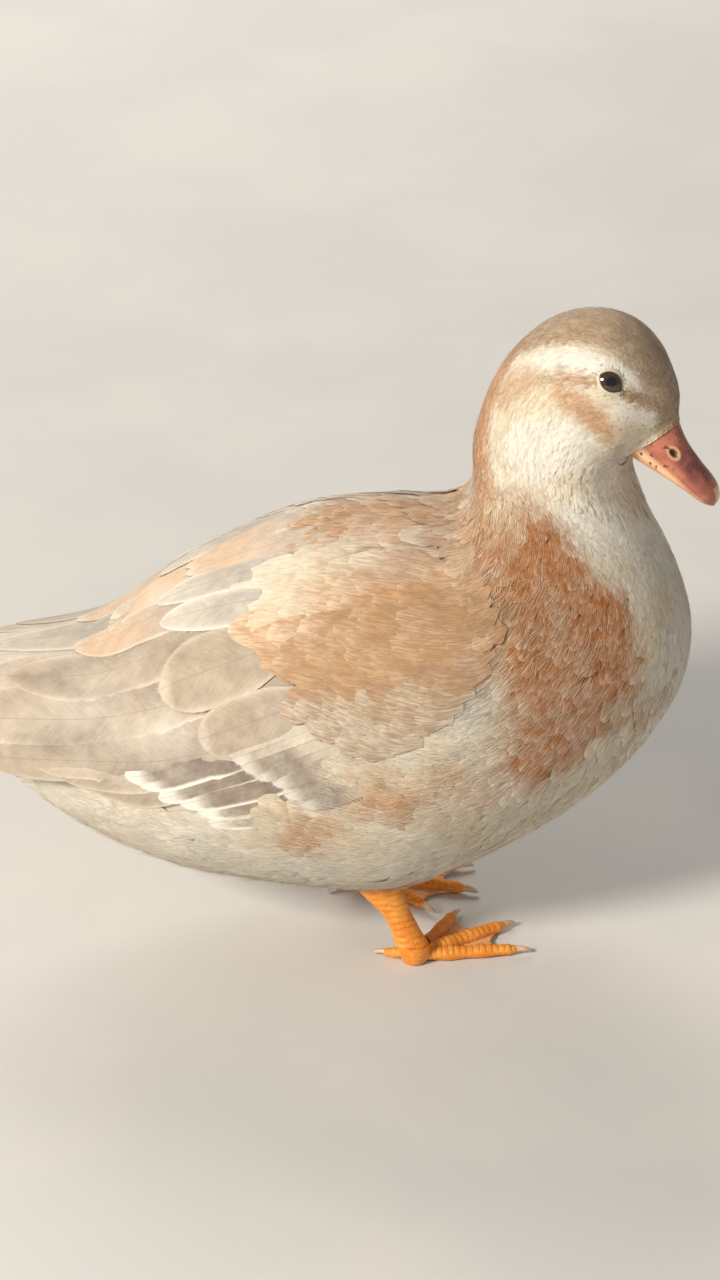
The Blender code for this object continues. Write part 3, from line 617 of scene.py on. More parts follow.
headCoat, bodyCoat, backCoat = (softPlumage(name) for name in ("headPlumage", "bodyPlumage", "backPlumage"))
shoulderCoat, vaneCoat = softPlumage("shoulderPlumage"), vanePlumage("vanePlumage")


# The down that shows between the feathers, with the same marks.
def buildSkinCoat():
    material, shader, w, place = newMaterial("underDown", 0.8, Sheen_Weight=0.3)
    marks = {label + "Share": w.attribute(label.lower())["Fac"] for label in markNames}
    fibres = w.noise(place, 700.0, 4.0, 0.65)
    colour = w.group(
        plumageColour, Place=place, Streak=fibres, ToneRange=0.0, StreakDepth=0.35, **plumage, **marks
    )["Color"]
    w.link(colour, shader.inputs["Base Color"])
    addBump(w, shader, fibres, 0.6, 0.0006)
    return material


def buildBillHorn():
    material, shader, w, place = newMaterial("billHorn", 0.32, Coat_Weight=0.25, Coat_Roughness=0.2)
    shader.inputs["Subsurface Weight"].default_value = 0.12
    shader.inputs["Subsurface Radius"].default_value = (0.002, 0.0008, 0.0004)
    skin = w.group(grain, Place=place, Coarse=170.0, Fine=1100.0, FineShare=0.3)
    colour = w.mix(skin["Mask"], (0.53, 0.185, 0.11, 1), (0.40, 0.12, 0.08, 1))
    colour = w.mix(w.attribute("edge")["Fac"], colour, (0.82, 0.50, 0.27, 1))
    # Dark purple-brown over the bill: the mid-bill patch is the bill's own colour, the darkening along its top is
    # painted shade
    blotches = w.span(skin["Height"], 0.4, 0.8, 0.5, 1.3)
    patchAndTopShade = w.math("MULTIPLY", w.attribute("culmen")["Fac"], blotches, clamp=True)
    colour = w.mix(patchAndTopShade, colour, (0.17, 0.05, 0.045, 1))
    colour = w.mix(w.attribute("pale")["Fac"], colour, (0.82, 0.55, 0.26, 1))
    specks = w.span(w.noise(place, 640.0, 2.0), 0.61, 0.68)
    zone = w.math("MULTIPLY", specks, w.attribute("speckled")["Fac"])
    colour = w.mix(zone, colour, (0.16, 0.06, 0.05, 1))
    # Painted shade: the nostril opening is coloured near black for the shade deep inside it
    w.link(w.mix(w.attribute("hole")["Fac"], colour, (0.05, 0.015, 0.01, 1)), shader.inputs["Base Color"])
    w.link(w.span(skin["Height"], 0.3, 0.9, 0.26, 0.42), shader.inputs["Roughness"])
    addBump(w, shader, skin["Height"], 0.25, 0.0003)
    return material


def buildLegSkin(name, first, second, crease):
    material, shader, w, place = newMaterial(name, 0.45, Coat_Weight=0.12, Coat_Roughness=0.35)
    shader.inputs["Subsurface Weight"].default_value = 0.1
    shader.inputs["Subsurface Radius"].default_value = (0.002, 0.0008, 0.0003)
    skin = w.group(grain, Place=place, Coarse=210.0, Fine=1500.0, FineShare=0.5)
    colour = w.mix(skin["Mask"], first, second)
    scales = w.tree.nodes.new("ShaderNodeTexVoronoi")
    scales.feature = "DISTANCE_TO_EDGE"
    w.link(place, scales.inputs["Vector"])
    scales.inputs["Scale"].default_value = 620.0
    seam = w.span(scales.outputs["Distance"], 0.02, 0.14, 1.0, 0.0)
    # Folds, wrinkles and seams between the scales take the darker crease colour: painted shade in these grooves
    folds = w.math("MAXIMUM", w.attribute("crease")["Fac"], w.math("MULTIPLY", seam, 0.45))
    colour = w.mix(w.math("MULTIPLY", folds, 0.45), colour, crease)
    specks = w.span(w.noise(place, 480.0, 2.0), 0.68, 0.75)
    w.link(w.mix(w.math("MULTIPLY", specks, 0.6), colour, (0.16, 0.07, 0.02, 1)), shader.inputs["Base Color"])
    height = w.math("SUBTRACT", skin["Height"], w.math("MULTIPLY", folds, 0.9))
    addBump(w, shader, height, 0.55, 0.0004)
    return material


def buildEyeWet():
    material, shader, w, place = newMaterial("eyeWet", 0.06, Coat_Weight=1.0, Coat_Roughness=0.02)
    reach = w.attribute("fromPupil")["Fac"]
    iris = w.mix(w.noise(place, 900.0, 3.0), (0.060, 0.030, 0.018, 1), (0.036, 0.017, 0.010, 1))
    colour = w.mix(w.span(reach, *eyes["pupil"], 1.0, 0.0), iris, (0.004, 0.003, 0.003, 1))
    w.link(w.mix(w.span(reach, 3.7, 4.3), colour, (0.02, 0.01, 0.008, 1)), shader.inputs["Base Color"])
    return material


def buildPlain(name, first, second, roughness, coarse, bump):
    material, shader, w, place = newMaterial(name, roughness)
    skin = w.group(grain, Place=place, Coarse=coarse, Fine=coarse * 7, FineShare=0.4)
    w.link(w.mix(skin["Mask"], first, second), shader.inputs["Base Color"])
    addBump(w, shader, skin["Height"], bump, 0.0003)
    return material


def buildLidSkin():
    material, shader, w, place = newMaterial("lidSkin", 0.5)
    skin = w.group(grain, Place=place, Coarse=500.0, Fine=3500.0, FineShare=0.4)
    colour = w.mix(skin["Mask"], (0.055, 0.032, 0.022, 1), (0.11, 0.065, 0.045, 1))
    down = w.span(w.attribute("away")["Fac"], *eyes["lidEdge"])  # pale down beyond the bare edge
    w.link(w.mix(down, colour, (0.66, 0.56, 0.40, 1)), shader.inputs["Base Color"])
    addBump(w, shader, skin["Height"], 0.3, 0.0003)
    return material


skinCoat, billHorn, eyeWet = buildSkinCoat(), buildBillHorn(), buildEyeWet()
legSkin = buildLegSkin("legSkin", (0.82, 0.26, 0.02, 1), (0.90, 0.36, 0.05, 1), (0.55, 0.14, 0.012, 1))
webSkin = buildLegSkin("webSkin", (0.74, 0.33, 0.12, 1), (0.80, 0.42, 0.20, 1), (0.5, 0.2, 0.07, 1))
clawHorn = buildPlain("clawHorn", (0.74, 0.52, 0.34, 1), (0.60, 0.38, 0.22, 1), 0.35, 300.0, 0.2)
lidSkin = buildLidSkin()

print("materials ready, now the markings")

# Markings as strokes over the body: section, degrees round it on the right side, radius in millimetres.
# The left side carries the same, mirrored.
markings = {
    "white": [
        ([(18.9, 131, 3.4), (19.7, 138, 4.1), (20.3, 142, 4.1), (20.8, 144, 3.3), (21.3, 142, 2.7)], 1.0),
        ([(21.3, 142, 2.7), (21.8, 138, 3.2), (22.3, 136, 3.0), (22.7, 134, 1.8)], 1.0),
        ([(21.8, 169, 3.0), (22.7, 161, 3.4), (23.7, 150, 2.8)], 0.8),
        ([(14.5, 180, 9), (15, 215, 9), (14.6, 250, 9)], 0.8),
        ([(17.2, 168, 11), (18.4, 182, 10), (19.0, 196, 7)], 0.95),
        ([(12.6, 240, 16), (10.5, 262, 14)], 0.75),
        ([(1.5, 195, 16), (3.5, 202, 18), (5.5, 218, 14), (7.5, 225, 14)], 0.65),
    ],
    "apricot": [
        ([(19.3, 160, 2.4), (19.8, 170, 3.4), (20.2, 178, 4.0), (20.7, 187, 3.6), (21.3, 197, 2.6)], 0.85),
        ([(21.3, 197, 2.2), (21.9, 208, 1.8)], 0.5),
        ([(20.8, 158, 1.4), (20.2, 155, 2.0), (19.5, 151, 2.6)], 0.5),
        ([(18.1, 98, 7), (17.2, 103, 9), (16.1, 106, 10), (14.2, 106, 10), (12.6, 112, 9)], 0.9),
        ([(18.9, 140, 2.5), (18.3, 136, 5), (17.6, 128, 6)], 0.5),
        ([(4.6, 92, 12), (6.5, 92, 13), (7.6, 94, 11)], 0.85),
        ([(8.6, 96, 8), (9.8, 102, 8), (10.8, 110, 8)], 0.85),
        ([(10.2, 146, 11), (9.4, 139, 10)], 0.75),
        ([(6.1, 199, 8), (6.1, 204, 7)], 0.95),
        ([(6.8, 188, 9), (7.3, 191, 7)], 0.9),
        ([(7.9, 186, 8), (8.5, 196, 7)], 0.7),
        ([(13.6, 150, 10), (13.4, 170, 9)], 0.5),
        ([(9.9, 108, 8), (10.9, 122, 9), (11.4, 134, 9), (11.2, 150, 9)], 0.9),
        ([(5.3, 143, 11), (5.8, 147, 14), (6.3, 145, 15), (7.0, 138, 17), (7.8, 134, 17), (8.6, 134, 15)], 0.97),
        ([(8.6, 134, 15), (9.5, 140, 11), (10.3, 149, 8)], 0.9),
        ([(6.6, 152, 9), (7.5, 149, 11), (8.5, 149, 11), (9.4, 151, 9)], 0.88),
        ([(6.2, 124, 8), (7.2, 114, 9), (8.4, 112, 9), (9.6, 119, 8)], 0.7),
        ([(6.9, 160, 7), (7.5, 165, 6)], 0.45),
        ([(8.6, 150, 6), (9.3, 158, 5)], 0.5),
    ],
    "rust": [
        ([(13.3, 160, 9), (12.0, 166, 17), (11.4, 178, 22), (10.7, 189, 21), (9.9, 195, 15)], 0.95),
        ([(12.5, 185, 12), (11.5, 199, 13), (10.3, 200, 11)], 1.0),
        ([(11.9, 235, 4.5)], 0.7),
        ([(11.5, 226, 6)], 0.7),
        ([(21.7, 157, 1.2), (22.1, 153, 2.4), (22.5, 147, 2.9), (23.2, 137, 2.4)], 0.36),
        ([(10.6, 128, 7), (11.3, 142, 9)], 0.55),
    ],
    "fawn": [
        ([(18.2, 90, 10), (19, 90, 14), (20.3, 90, 16), (21.2, 90, 15.5), (22, 90, 15)], 0.85),
        ([(22, 90, 15), (23, 90, 14.5), (24, 90, 12), (25, 90, 10.5), (26, 90, 9)], 0.85),
        ([(21.7, 157, 1.2), (22.1, 153, 2.3), (22.5, 147, 2.9), (22.9, 140, 2.6)], 0.8),
        ([(22.9, 140, 2.6), (23.4, 134, 2.4), (24.3, 126, 2.2)], 0.8),
        ([(20.9, 158, 1.3), (20.3, 156, 2.2), (19.6, 151, 2.8), (19.0, 147, 2.4)], 0.5),
        ([(20.0, 175, 2.2), (20.6, 184, 2.4), (21.2, 194, 1.8)], 0.15),
        # Painted shade: a faint olive-brown under the chin and down the throat, where the curled tufts shade the
        # neck
        ([(22.1, 211, 3.2), (19.3, 229, 3.2), (17.4, 213, 3.0)], 0.2),
        ([(5.4, 149, 9), (6.1, 149, 12), (7.0, 142, 14), (8.2, 138, 13), (9.6, 143, 9)], 0.58),
        # Painted shade: this stroke carries the fawn forward into the nook in front of the shoulder
        ([(9.4, 142, 7), (10.2, 150, 7)], 0.6),
    ],
    "dark": [
        ([(21.7, 157, 0.9), (22.1, 153, 1.6), (22.6, 146, 1.8), (23.2, 137, 1.4)], 0.3),
        ([(20.9, 158, 0.8), (20.4, 157, 1.2)], 0.2),
        # Painted shade: a soft dark spot in the nook in front of the shoulder
        ([(10.4, 150, 5), (10.5, 157, 5)], 0.22),
    ],
    "grey": [
        ([(8.2, 84, 7), (7.5, 101, 4)], 0.4),
        ([(10.6, 128, 7), (9.8, 132, 7)], 0.35),
        ([(8.9, 160, 6), (8.2, 166, 6)], 0.35),
        ([(5.9, 168, 9), (6.5, 170, 8)], 0.3),
        ([(7.9, 158, 6), (8.5, 164, 7)], 0.4),
        ([(6.6, 116, 6), (7.8, 112, 7), (8.8, 112, 6)], 0.35),
    ],
}
# Millimetres over which a marking's border fades, by section from flank to head
borders = [(8.5, 8.0), (10, 5.0), (13, 5.0), (17, 2.0)]


# How far points lie inside a stroke drawn over the straight bird
def strokeShare(points, stroke, fade):
    rows = np.array(stroke, float)
    line = onStraightBody(rows[:, 0], rows[:, 1])
    if len(rows) == 1:
        line, rows = np.vstack([line, line + 0.01]), np.vstack([rows, rows])
    best = np.zeros(len(points))
    for one, other, first, last in zip(line, line[1:], rows[:, 2], rows[1:, 2]):
        way = other - one
        t = np.clip(((points - one) @ way) / max(way @ way, 1e-6), 0, 1)
        gap = np.linalg.norm(points - (one + t[:, None] * way), axis=1)
        radius = first + (last - first) * t
        soft = np.minimum(fade, radius * 0.75)
        best = np.maximum(best, 1 - smooth(-1, 1, (gap - radius) / soft))
    return best


# All the markings at places on the body, each moved aside by some wander
def marksAt(u, degrees, wander):
    points = onStraightBody(u, degrees)
    points = points + wander
    fade = np.interp(u, *zip(*borders))
    marks = {}
    for key, strokes in markings.items():
        value = np.zeros(len(points))
        for stroke, strength in strokes:
            value = np.maximum(value, strength * strokeShare(points, stroke, fade))
        marks[key] = value
    return marks


# The skin, one form from tail to face under all the plumage
skin = {
    "steps": 168,
    "around": 144,
    "depthBySection": [(0, 1.2), (3, 1.7), (8, 1.8), (12, 1.5), (15, 1.1), (17, 0.8), (19, 0.6), (26, 0.5)],
    "pocket": 5.4,
}


def skinDepth(u, degrees):
    rows = np.array(skin["depthBySection"], float)
    return np.maximum(np.interp(u, rows[:, 0], rows[:, 1]), skin["pocket"] * underWing(u, degrees))


# A place on the unwrap of the skin, cut open along the belly.
def unwrapPlace(u, degrees):
    return np.stack([0.01 + 0.98 * ((degrees + 90) % 360) / 360, 0.01 + 0.98 * u / lastSection], -1)


def buildSkin():
    u = np.linspace(0, lastSection, skin["steps"] + 1)
    degrees = np.linspace(-90, 270, skin["around"] + 1)
    gridU, gridD = np.meshgrid(u, degrees, indexing="ij")
    points = onBody(gridU, gridD, -skinDepth(gridU, gridD)).reshape(-1, 3)
    triangles = gridTriangles(len(u), len(degrees))
    count = len(degrees)
    ends = []
    for row in (0, len(u) - 1):
        first = row * count
        centre = len(points)
        points = np.vstack([points, points[first : first + count].mean(0)])
        ring = np.arange(first, first + count - 1)
        ends.append(np.column_stack([ring, ring + 1, np.full(count - 1, centre)]))
        if row:
            ends[-1] = ends[-1][:, ::-1]
    triangles = np.vstack([triangles, *ends])
    allU = np.append(gridU.ravel(), [0, lastSection])
    allD = np.append(gridD.ravel(), [90, 90])
    marks = marksAt(allU, allD, 0.0)
    return makePiece(
        "skin", points, outwardFirst(points, triangles), skinCoat, marks, unwrapPlace(allU, allD)
    )


skinPiece = buildSkin()
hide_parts("torso", "neck", "head", "tail")
print("skin laid, now the small feathers")


# Small feathers: templates in shares of length and half width, laid over the body in one go
def featherTemplate(hairs, hairWidth, overhang, grid=(6, 9), begin=(0.35, 0.7)):
    # A rounded sheet, if any, and fine hairs that fan over it and past its edge
    keys = ("along", "across", "extra", "lift", "tone", "fan")
    parts = {key: [] for key in keys}
    triangles = []

    def add(*values):
        for key, value in zip(keys, values):
            parts[key].append(value)

    def columnEnd(c):
        return 1 - 0.42 * abs(c) ** 2.3

    def widthAt(t):
        return 0.3 + 0.7 * float(smooth(0, 0.62, t))

    if grid:
        rows, columns = grid
        for i in range(rows):
            t = 1 - (1 - i / (rows - 1)) ** 1.3
            for k in range(columns):
                c = -1 + 2 * k / (columns - 1)
                ragged = chance.uniform(-0.06, 0.02) if i == rows - 1 else 0.0
                s = t * columnEnd(c) + ragged
                add(s, c * widthAt(s), 0.0, -0.5 * c * c, 0.5, c)
        triangles += gridTriangles(rows, columns).tolist()
    for k in range(hairs):
        c = -0.97 + 1.94 * (k + chance.uniform(0.1, 0.9)) / hairs
        last = columnEnd(c) + overhang * chance.uniform(0.25, 1.0)
        first = columnEnd(c) * chance.uniform(*begin)
        tone, bend, height = chance.uniform(0, 1), chance.uniform(-0.06, 0.06), chance.uniform(0.2, 1)
        a = len(parts["along"])
        for i in range(3):
            t = i / 2
            s = first + (last - first) * t
            middle = c * widthAt(s) * (1 + 0.25 * max(0.0, s - columnEnd(c))) + bend * t * t
            lift = height * (0.15 + 0.85 * t) - 0.5 * middle * middle
            for edge in [0.0] if i == 2 else [-0.5, 0.5]:
                add(s, middle, edge * hairWidth * (1 - 0.4 * t), lift, tone, c + 3 * tone)
        triangles += [(a, a + 1, a + 3), (a, a + 3, a + 2), (a + 2, a + 3, a + 4)]
    template = {key: np.array(values) for key, values in parts.items()}
    template["triangles"] = np.array(triangles)
    return template


# Change of place for one step of each coordinate, and the outward normal.
def localFrame(surface, a, b):
    h = 0.02
    pa = (surface(a + h, b, 0 * a) - surface(a - h, b, 0 * a)) / (2 * h)
    pb = (surface(a, b + 50 * h, 0 * a) - surface(a, b - 50 * h, 0 * a)) / (100 * h)
    return pa, pb, unit(np.cross(pb, pa))


# Evenly strewn places on the body, spacing(u, degrees) millimetres apart, where keep allows.
def scatterRoots(spacing, keep, lowU, highU):
    tries = 60000
    u = chance.uniform(lowU, highU, tries)
    degrees = chance.uniform(-90, 270, tries)
    pa, pb, _ = localFrame(onBody, u, degrees)
    density = np.linalg.norm(np.cross(pa, pb), axis=1) / spacing(u, degrees) ** 2 * keep(u, degrees)
    expected = density.mean() * (highU - lowU) * 360
    wanted = int(3.4 * expected / density.mean() * np.percentile(density, 99.5)) + 1000
    u = chance.uniform(lowU, highU, wanted)
    degrees = chance.uniform(-90, 270, wanted)
    pa, pb, _ = localFrame(onBody, u, degrees)
    density = np.linalg.norm(np.cross(pa, pb), axis=1) / spacing(u, degrees) ** 2 * keep(u, degrees)
    chosen = chance.uniform(0, np.percentile(density, 99.5), wanted) < density
    u, degrees = u[chosen], degrees[chosen]
    points = onBody(u, degrees, 0 * u)
    radius = spacing(u, degrees) * 0.93
    tree = KDTree(len(points))
    for i, point in enumerate(points):
        tree.insert(point, i)
    tree.balance()
    alive = np.ones(len(points), bool)
    for i, point in enumerate(points):
        if alive[i]:
            for _, j, _ in tree.find_range(point, radius[i]):
                if j > i:
                    alive[j] = False
    return u[alive], degrees[alive]


# The way that feathers lie: towards the tail, parted round the eyes.
def flowAround(points, pa, normal):
    way = -unit(pa)
    for side in (1, -1):
        middle = headPoint(0, 0, side * eyes["surface"])
        away = points - middle
        gap = np.linalg.norm(away, axis=1)
        away = away - normal * np.einsum("ij,ij->i", away, normal)[:, None]
        share = (1 - smooth(4.6, 9.5, gap))[:, None]
        way = unit(way + unit(away) * share * 1.5)
    return way


# Steps along the lie of the coat from each root: the places, and what a millimetre aside takes there.
def followFlow(u, degrees, length, swing):
    steps = 5
    placeU, placeD = u.copy(), degrees.copy()
    rows = [[], [], [], []]
    for _ in range(steps):
        points = onBody(placeU, placeD, 0 * placeU)
        pa, pb, normal = localFrame(onBody, placeU, placeD)
        way = flowAround(points, pa, normal)
        aside = np.cross(normal, way)
        way, aside = (
            way * np.cos(swing)[:, None] + aside * np.sin(swing)[:, None],
            aside * np.cos(swing)[:, None] - way * np.sin(swing)[:, None],
        )
        aa, ab = np.einsum("ij,ij->i", pa, pa), np.einsum("ij,ij->i", pa, pb)
        bb = np.einsum("ij,ij->i", pb, pb)
        size = aa * bb - ab * ab

        def inSurface(vectors):
            x, y = np.einsum("ij,ij->i", vectors, pa), np.einsum("ij,ij->i", vectors, pb)
            return (bb * x - ab * y) / size, (aa * y - ab * x) / size

        alongU, alongD = inSurface(way)
        asideU, asideD = inSurface(aside)
        for row, values in zip(rows, (placeU, placeD, asideU, asideD)):
            row.append(values)
        placeU = np.clip(placeU + alongU * length / (steps - 1), 0.05, lastSection)
        placeD = placeD + alongD * length / (steps - 1)
    return [np.array(row) for row in rows]


# Lays one feather at each root: lengths, widths and lifts come from spec, a function of the roots.
def layFeathers(name, roots, templates, spec, material, slot, paint=None):
    u, degrees = roots
    count = len(u)
    points = onBody(u, degrees, 0 * u)
    length, half, rootOut, tipOut, swing = spec(u, degrees, points)
    stations = followFlow(u, degrees, length, swing)
    wander = chance.normal(0, 1, (count, 3)) * spec.wander
    marked = [marksAt(stations[0][k], stations[1][k], wander) for k in (0, 2, 4)]  # root, middle and tip
    marks = {key: np.stack([row[key] for row in marked]) for key in marked[0]}
    tone = chance.uniform(0, 1, count)
    kind = chance.integers(0, len(templates), count)
    allPoints, allTriangles, allUnwrap, allNormals = [], [], [], []
    allMarks = {key: [] for key in [*marks, "feather"]}
    base = 0
    for index, template in enumerate(templates):
        these = np.flatnonzero(kind == index)
        if not len(these):
            continue
        s = template["along"][None, :] * length[these, None]
        c = template["across"][None, :] * half[these, None] + template["extra"][None, :]
        share = template["along"][None, :]
        out = rootOut[these, None] + (tipOut - rootOut)[these, None] * np.maximum(share, 0) ** 0.7
        out = out + template["lift"][None, :] * spec.ruffle
        position = np.clip(template["along"], 0, 1) * (len(stations[0]) - 1)
        step = np.minimum(position.astype(int), len(stations[0]) - 2)
        portion = position - step
        pathU, pathD, asideU, asideD = (
            item[step][:, these].T + (item[step + 1] - item[step])[:, these].T * portion for item in stations
        )
        atU, atD = np.clip(pathU + c * asideU, 0, lastSection), pathD + c * asideD
        laid = onBody(atU, atD, out)
        size = laid.shape[1]
        allPoints.append(laid.reshape(-1, 3))
        allNormals.append(outwardNormal(onBody, np.clip(atU, 0.06, lastSection - 0.06), atD, 0.05).reshape(-1, 3))
        offsets = base + np.arange(len(these)) * size
        allTriangles.append((template["triangles"][None, :, :] + offsets[:, None, None]).reshape(-1, 3))
        base += len(these) * size
        strand = np.broadcast_to(template["tone"][None, :], s.shape)
        mixedTone = 0.6 * tone[these, None] + 0.4 * strand
        fan = np.broadcast_to(template["fan"][None, :], s.shape)
        allMarks["feather"].append(np.stack([fan, s, mixedTone], -1).reshape(-1, 3))
        place = np.clip(template["along"], 0, 1) * 2
        before = np.minimum(place.astype(int), 1)
        after = (place - before)[:, None]
        values = {}
        for key in marks:
            held = marks[key][:, these]
            values[key] = (held[before] * (1 - after) + held[before + 1] * after).T
        if paint:
            paint(values, np.broadcast_to(share, s.shape), strand, tone[these, None])
        for key in marks:
            allMarks[key].append(np.clip(values[key], 0, 1).ravel())
        spot = unwrapPlace(u[these], degrees[these])[:, None, :]
        patch = np.stack([template["across"] * 0.0012, (template["along"] - 0.5) * 0.003], -1)[None]
        allUnwrap.append((spot + patch).reshape(-1, 2))
    joined = {key: np.concatenate(values) for key, values in allMarks.items()}
    points, triangles = np.concatenate(allPoints), np.concatenate(allTriangles)
    normals = softened(points, triangles, np.concatenate(allNormals), spec.softness)
    piece = makePiece(name, points, triangles, material, joined, np.concatenate(allUnwrap), normals)
    print(f"{name}: {count} feathers, {len(piece.data.polygons)} triangles")
    return piece


# Lays one scatter of roots as several pieces, each from one section of the body to another
def layParts(parts, roots, *how):
    for label, low, high in parts:
        chosen = (roots[0] >= low) & (roots[0] < high)
        layFeathers(label, (roots[0][chosen], roots[1][chosen]), *how)


def evenly(spacing):
    return lambda u, degrees: spacing + 0 * u


# How the feathers of one part of the body lie
class Spec:
    def __init__(self, rule, wander, ruffle, softness=0.7):
        self.rule, self.wander, self.ruffle, self.softness = rule, wander, ruffle, softness

    def __call__(self, u, degrees, points):
        values = self.rule(u, degrees, points)
        return [np.broadcast_to(np.asarray(value, float), u.shape).copy() for value in values]


headFeathers = {
    "spacing": 1.0,
    "faceSpacing": 0.74,
    "length": 4.0,
    "faceLength": 2.0,
    "from": 14.6,
    "clearOfEye": 0.25,
    "throatLength": 7.5,
    "throatLift": 1.2,
}


# Millimetres from the edge of the open lids, seen straight onto the eye
def lidGap(points):
    gaps = []
    for side in (1, -1):
        way, ahead, up = eyeAxes(side)
        off = points - eyeCentre(side)
        gap = np.hypot(off @ ahead, off @ up) - lidOpening(np.arctan2(off @ up, off @ ahead))
        gaps.append(np.where(off @ way > 0, gap, 99.0))
    return np.minimum(*gaps)


# The tufts that hang over the collar below cheek and throat
def throatShare(u, degrees):
    return (1 - smooth(-8, 10, levelOf(degrees))) * smooth(15.4, 16.6, u) * (1 - smooth(18.6, 21, u))


def headSpacing(u, degrees):
    near = smooth(20, 22, u)
    near = np.maximum(near, 1 - smooth(1.5, 5, lidGap(onBody(u, degrees, 0 * u))))
    return headFeathers["spacing"] + (headFeathers["faceSpacing"] - headFeathers["spacing"]) * near


def headKeep(u, degrees):
    return (lidGap(onBody(u, degrees, 0 * u)) > headFeathers["clearOfEye"]) * (u > headFeathers["from"])


def headRule(u, degrees, points):
    face = smooth(19.0, 22.5, u)
    length = headFeathers["length"] + (headFeathers["faceLength"] - headFeathers["length"]) * face
    length = length * np.minimum(1, 0.45 + 0.55 * smooth(0.3, 4, lidGap(points)))
    throat = throatShare(u, degrees) * chance.uniform(0.2, 1, len(u))
    length = length + (headFeathers["throatLength"] - length) * throat
    length = length * chance.uniform(0.85, 1.2, len(u))
    lift = 0.05 + 0.15 * chance.uniform(0, 1, len(u)) ** 2 * (1 - 0.7 * face)
    lift = lift + headFeathers["throatLift"] * throat
    half = np.minimum(length * 0.3 + 0.15, 1.35 - 0.5 * throat)
    root = -0.35 + 0.1 * face + 0.1 * (1 - smooth(0.4, 2, lidGap(points)))
    return length, half, root, lift, chance.normal(0, 0.12, len(u)) * (1 + throat)


# Pale streaks over the cap, and paler ends in the eye stripe
def paintHead(values, share, strand, tone):
    pale = (strand > 0.62) * smooth(0.2, 0.9, share)
    values["fawn"] = values["fawn"] * (1 - 0.6 * pale)
    values["dark"] = values["dark"] * (1 - 0.35 * pale)


headSpec = Spec(headRule, 0.5, 0.12, 0.85)
headTemplates = [featherTemplate(7, 0.13, 0.45, (3, 4)) for _ in range(8)]
headRoots = scatterRoots(headSpacing, headKeep, headFeathers["from"], lastSection - 0.03)
headParts = [("faceFeathers", 20.2, 26), ("crownFeathers", 17.6, 20.2), ("napeFeathers", 0, 17.6)]
layParts(headParts, headRoots, headTemplates, headSpec, headCoat, "head_coat", paintHead)

# Single hair-like tips that stand off head and neck
headFuzz = {"spacing": 1.4, "length": 4.6, "lift": 0.9}


def fuzzKeep(u, degrees):
    return (lidGap(onBody(u, degrees, 0 * u)) > 3.5) * (1 - smooth(20.5, 22.5, u)) * smooth(12.4, 14, u)


def fuzzRule(u, degrees, points):
    length = headFuzz["length"] * chance.uniform(0.6, 1.3, len(u))
    lift = headFuzz["lift"] * (0.3 + chance.uniform(0, 1, len(u)) ** 3)
    return length, 0.7, 0.0, lift, chance.normal(0, 0.22, len(u))


fuzzTemplates = [featherTemplate(3, 0.10, 0.3, None, (0.1, 0.4)) for _ in range(8)]
fuzzRoots = scatterRoots(evenly(headFuzz["spacing"]), fuzzKeep, 12.4, 22.5)
layFeathers("headFuzz", fuzzRoots, fuzzTemplates, Spec(fuzzRule, 0.6, 0.1, 0.9), headCoat, "head_coat", paintHead)

neckFeathers = {"spacing": 1.9, "length": 8.0, "half": 1.9, "root": -0.5, "from": 12.0, "to": 15.2}


def neckRule(u, degrees, points):
    length = neckFeathers["length"] * chance.uniform(0.8, 1.25, len(u))
    lift = 0.1 + 0.2 * chance.uniform(0, 1, len(u))
    return length, neckFeathers["half"], neckFeathers["root"], lift, chance.normal(0, 0.12, len(u))


# Rust feathers end in pale strands, and a few on the white front end in brown
def paintBreast(values, share, strand, tone):
    tip = smooth(0.72, 1.05, share)
    hair = (strand > 0.6) * smooth(0.4, 0.9, share)
    pale = np.maximum(tip * 0.45, hair * 0.6 * strand)
    values["rust"] = values["rust"] * (1 - 0.8 * pale) * (0.88 + 0.2 * tone)
    values["apricot"] = values["apricot"] * (1 - 0.3 * tip)
    values["white"] = np.maximum(values["white"], pale * 0.6)
    values["dark"] = np.maximum(values["dark"], 0.2 * values["rust"] * (1 - smooth(0.35, 0.8, share)))
    speck = (tone > 0.95) & (values["white"] > 0.6)
    values["fawn"] = np.maximum(values["fawn"], speck * 0.55 * smooth(0.6, 0.9, share))


neckSpec = Spec(neckRule, 1.6, 0.25, 0.8)
neckTemplates = [featherTemplate(12, 0.17, 0.25, (4, 5)) for _ in range(8)]
neckRoots = scatterRoots(evenly(neckFeathers["spacing"]), evenly(1.0), neckFeathers["from"], neckFeathers["to"])
layFeathers("neckFeathers", neckRoots, neckTemplates, neckSpec, bodyCoat, "neck_coat", paintBreast)

breastFeathers = {"spacing": 3.5, "length": 13.0, "half": 4.6, "from": 2.6, "to": 12.6, "root": -1.2}


def breastKeep(u, degrees):
    back = smooth(40, 66, levelOf(degrees)) * (1 - smooth(10.4, 11.4, u))
    front = smooth(9.4, 10.2, u)
    return (1 - smooth(0.05 + 0.4 * front, 0.5 + 0.4 * front, underWing(u, degrees))) * (1 - back) * (u > 2.5)


def breastRule(u, degrees, points):
    length = breastFeathers["length"] * chance.uniform(0.88, 1.12, len(u)) * (1 - 0.2 * smooth(10, 12.5, u))
    lift = 0.1 + 0.25 * chance.uniform(0, 1, len(u))
    side = np.where(np.cos(np.radians(degrees)) > 0, 1.0, -1.0)
    flank = underWing(np.clip(u - 0.8, 0, 25), degrees + side * 14) * (points[:, 2] < 110)
    half = breastFeathers["half"] * (1 - 0.25 * smooth(10.5, 12.5, u))
    return length, half, breastFeathers["root"], lift, chance.normal(0, 0.09, len(u)) + side * 0.3 * flank


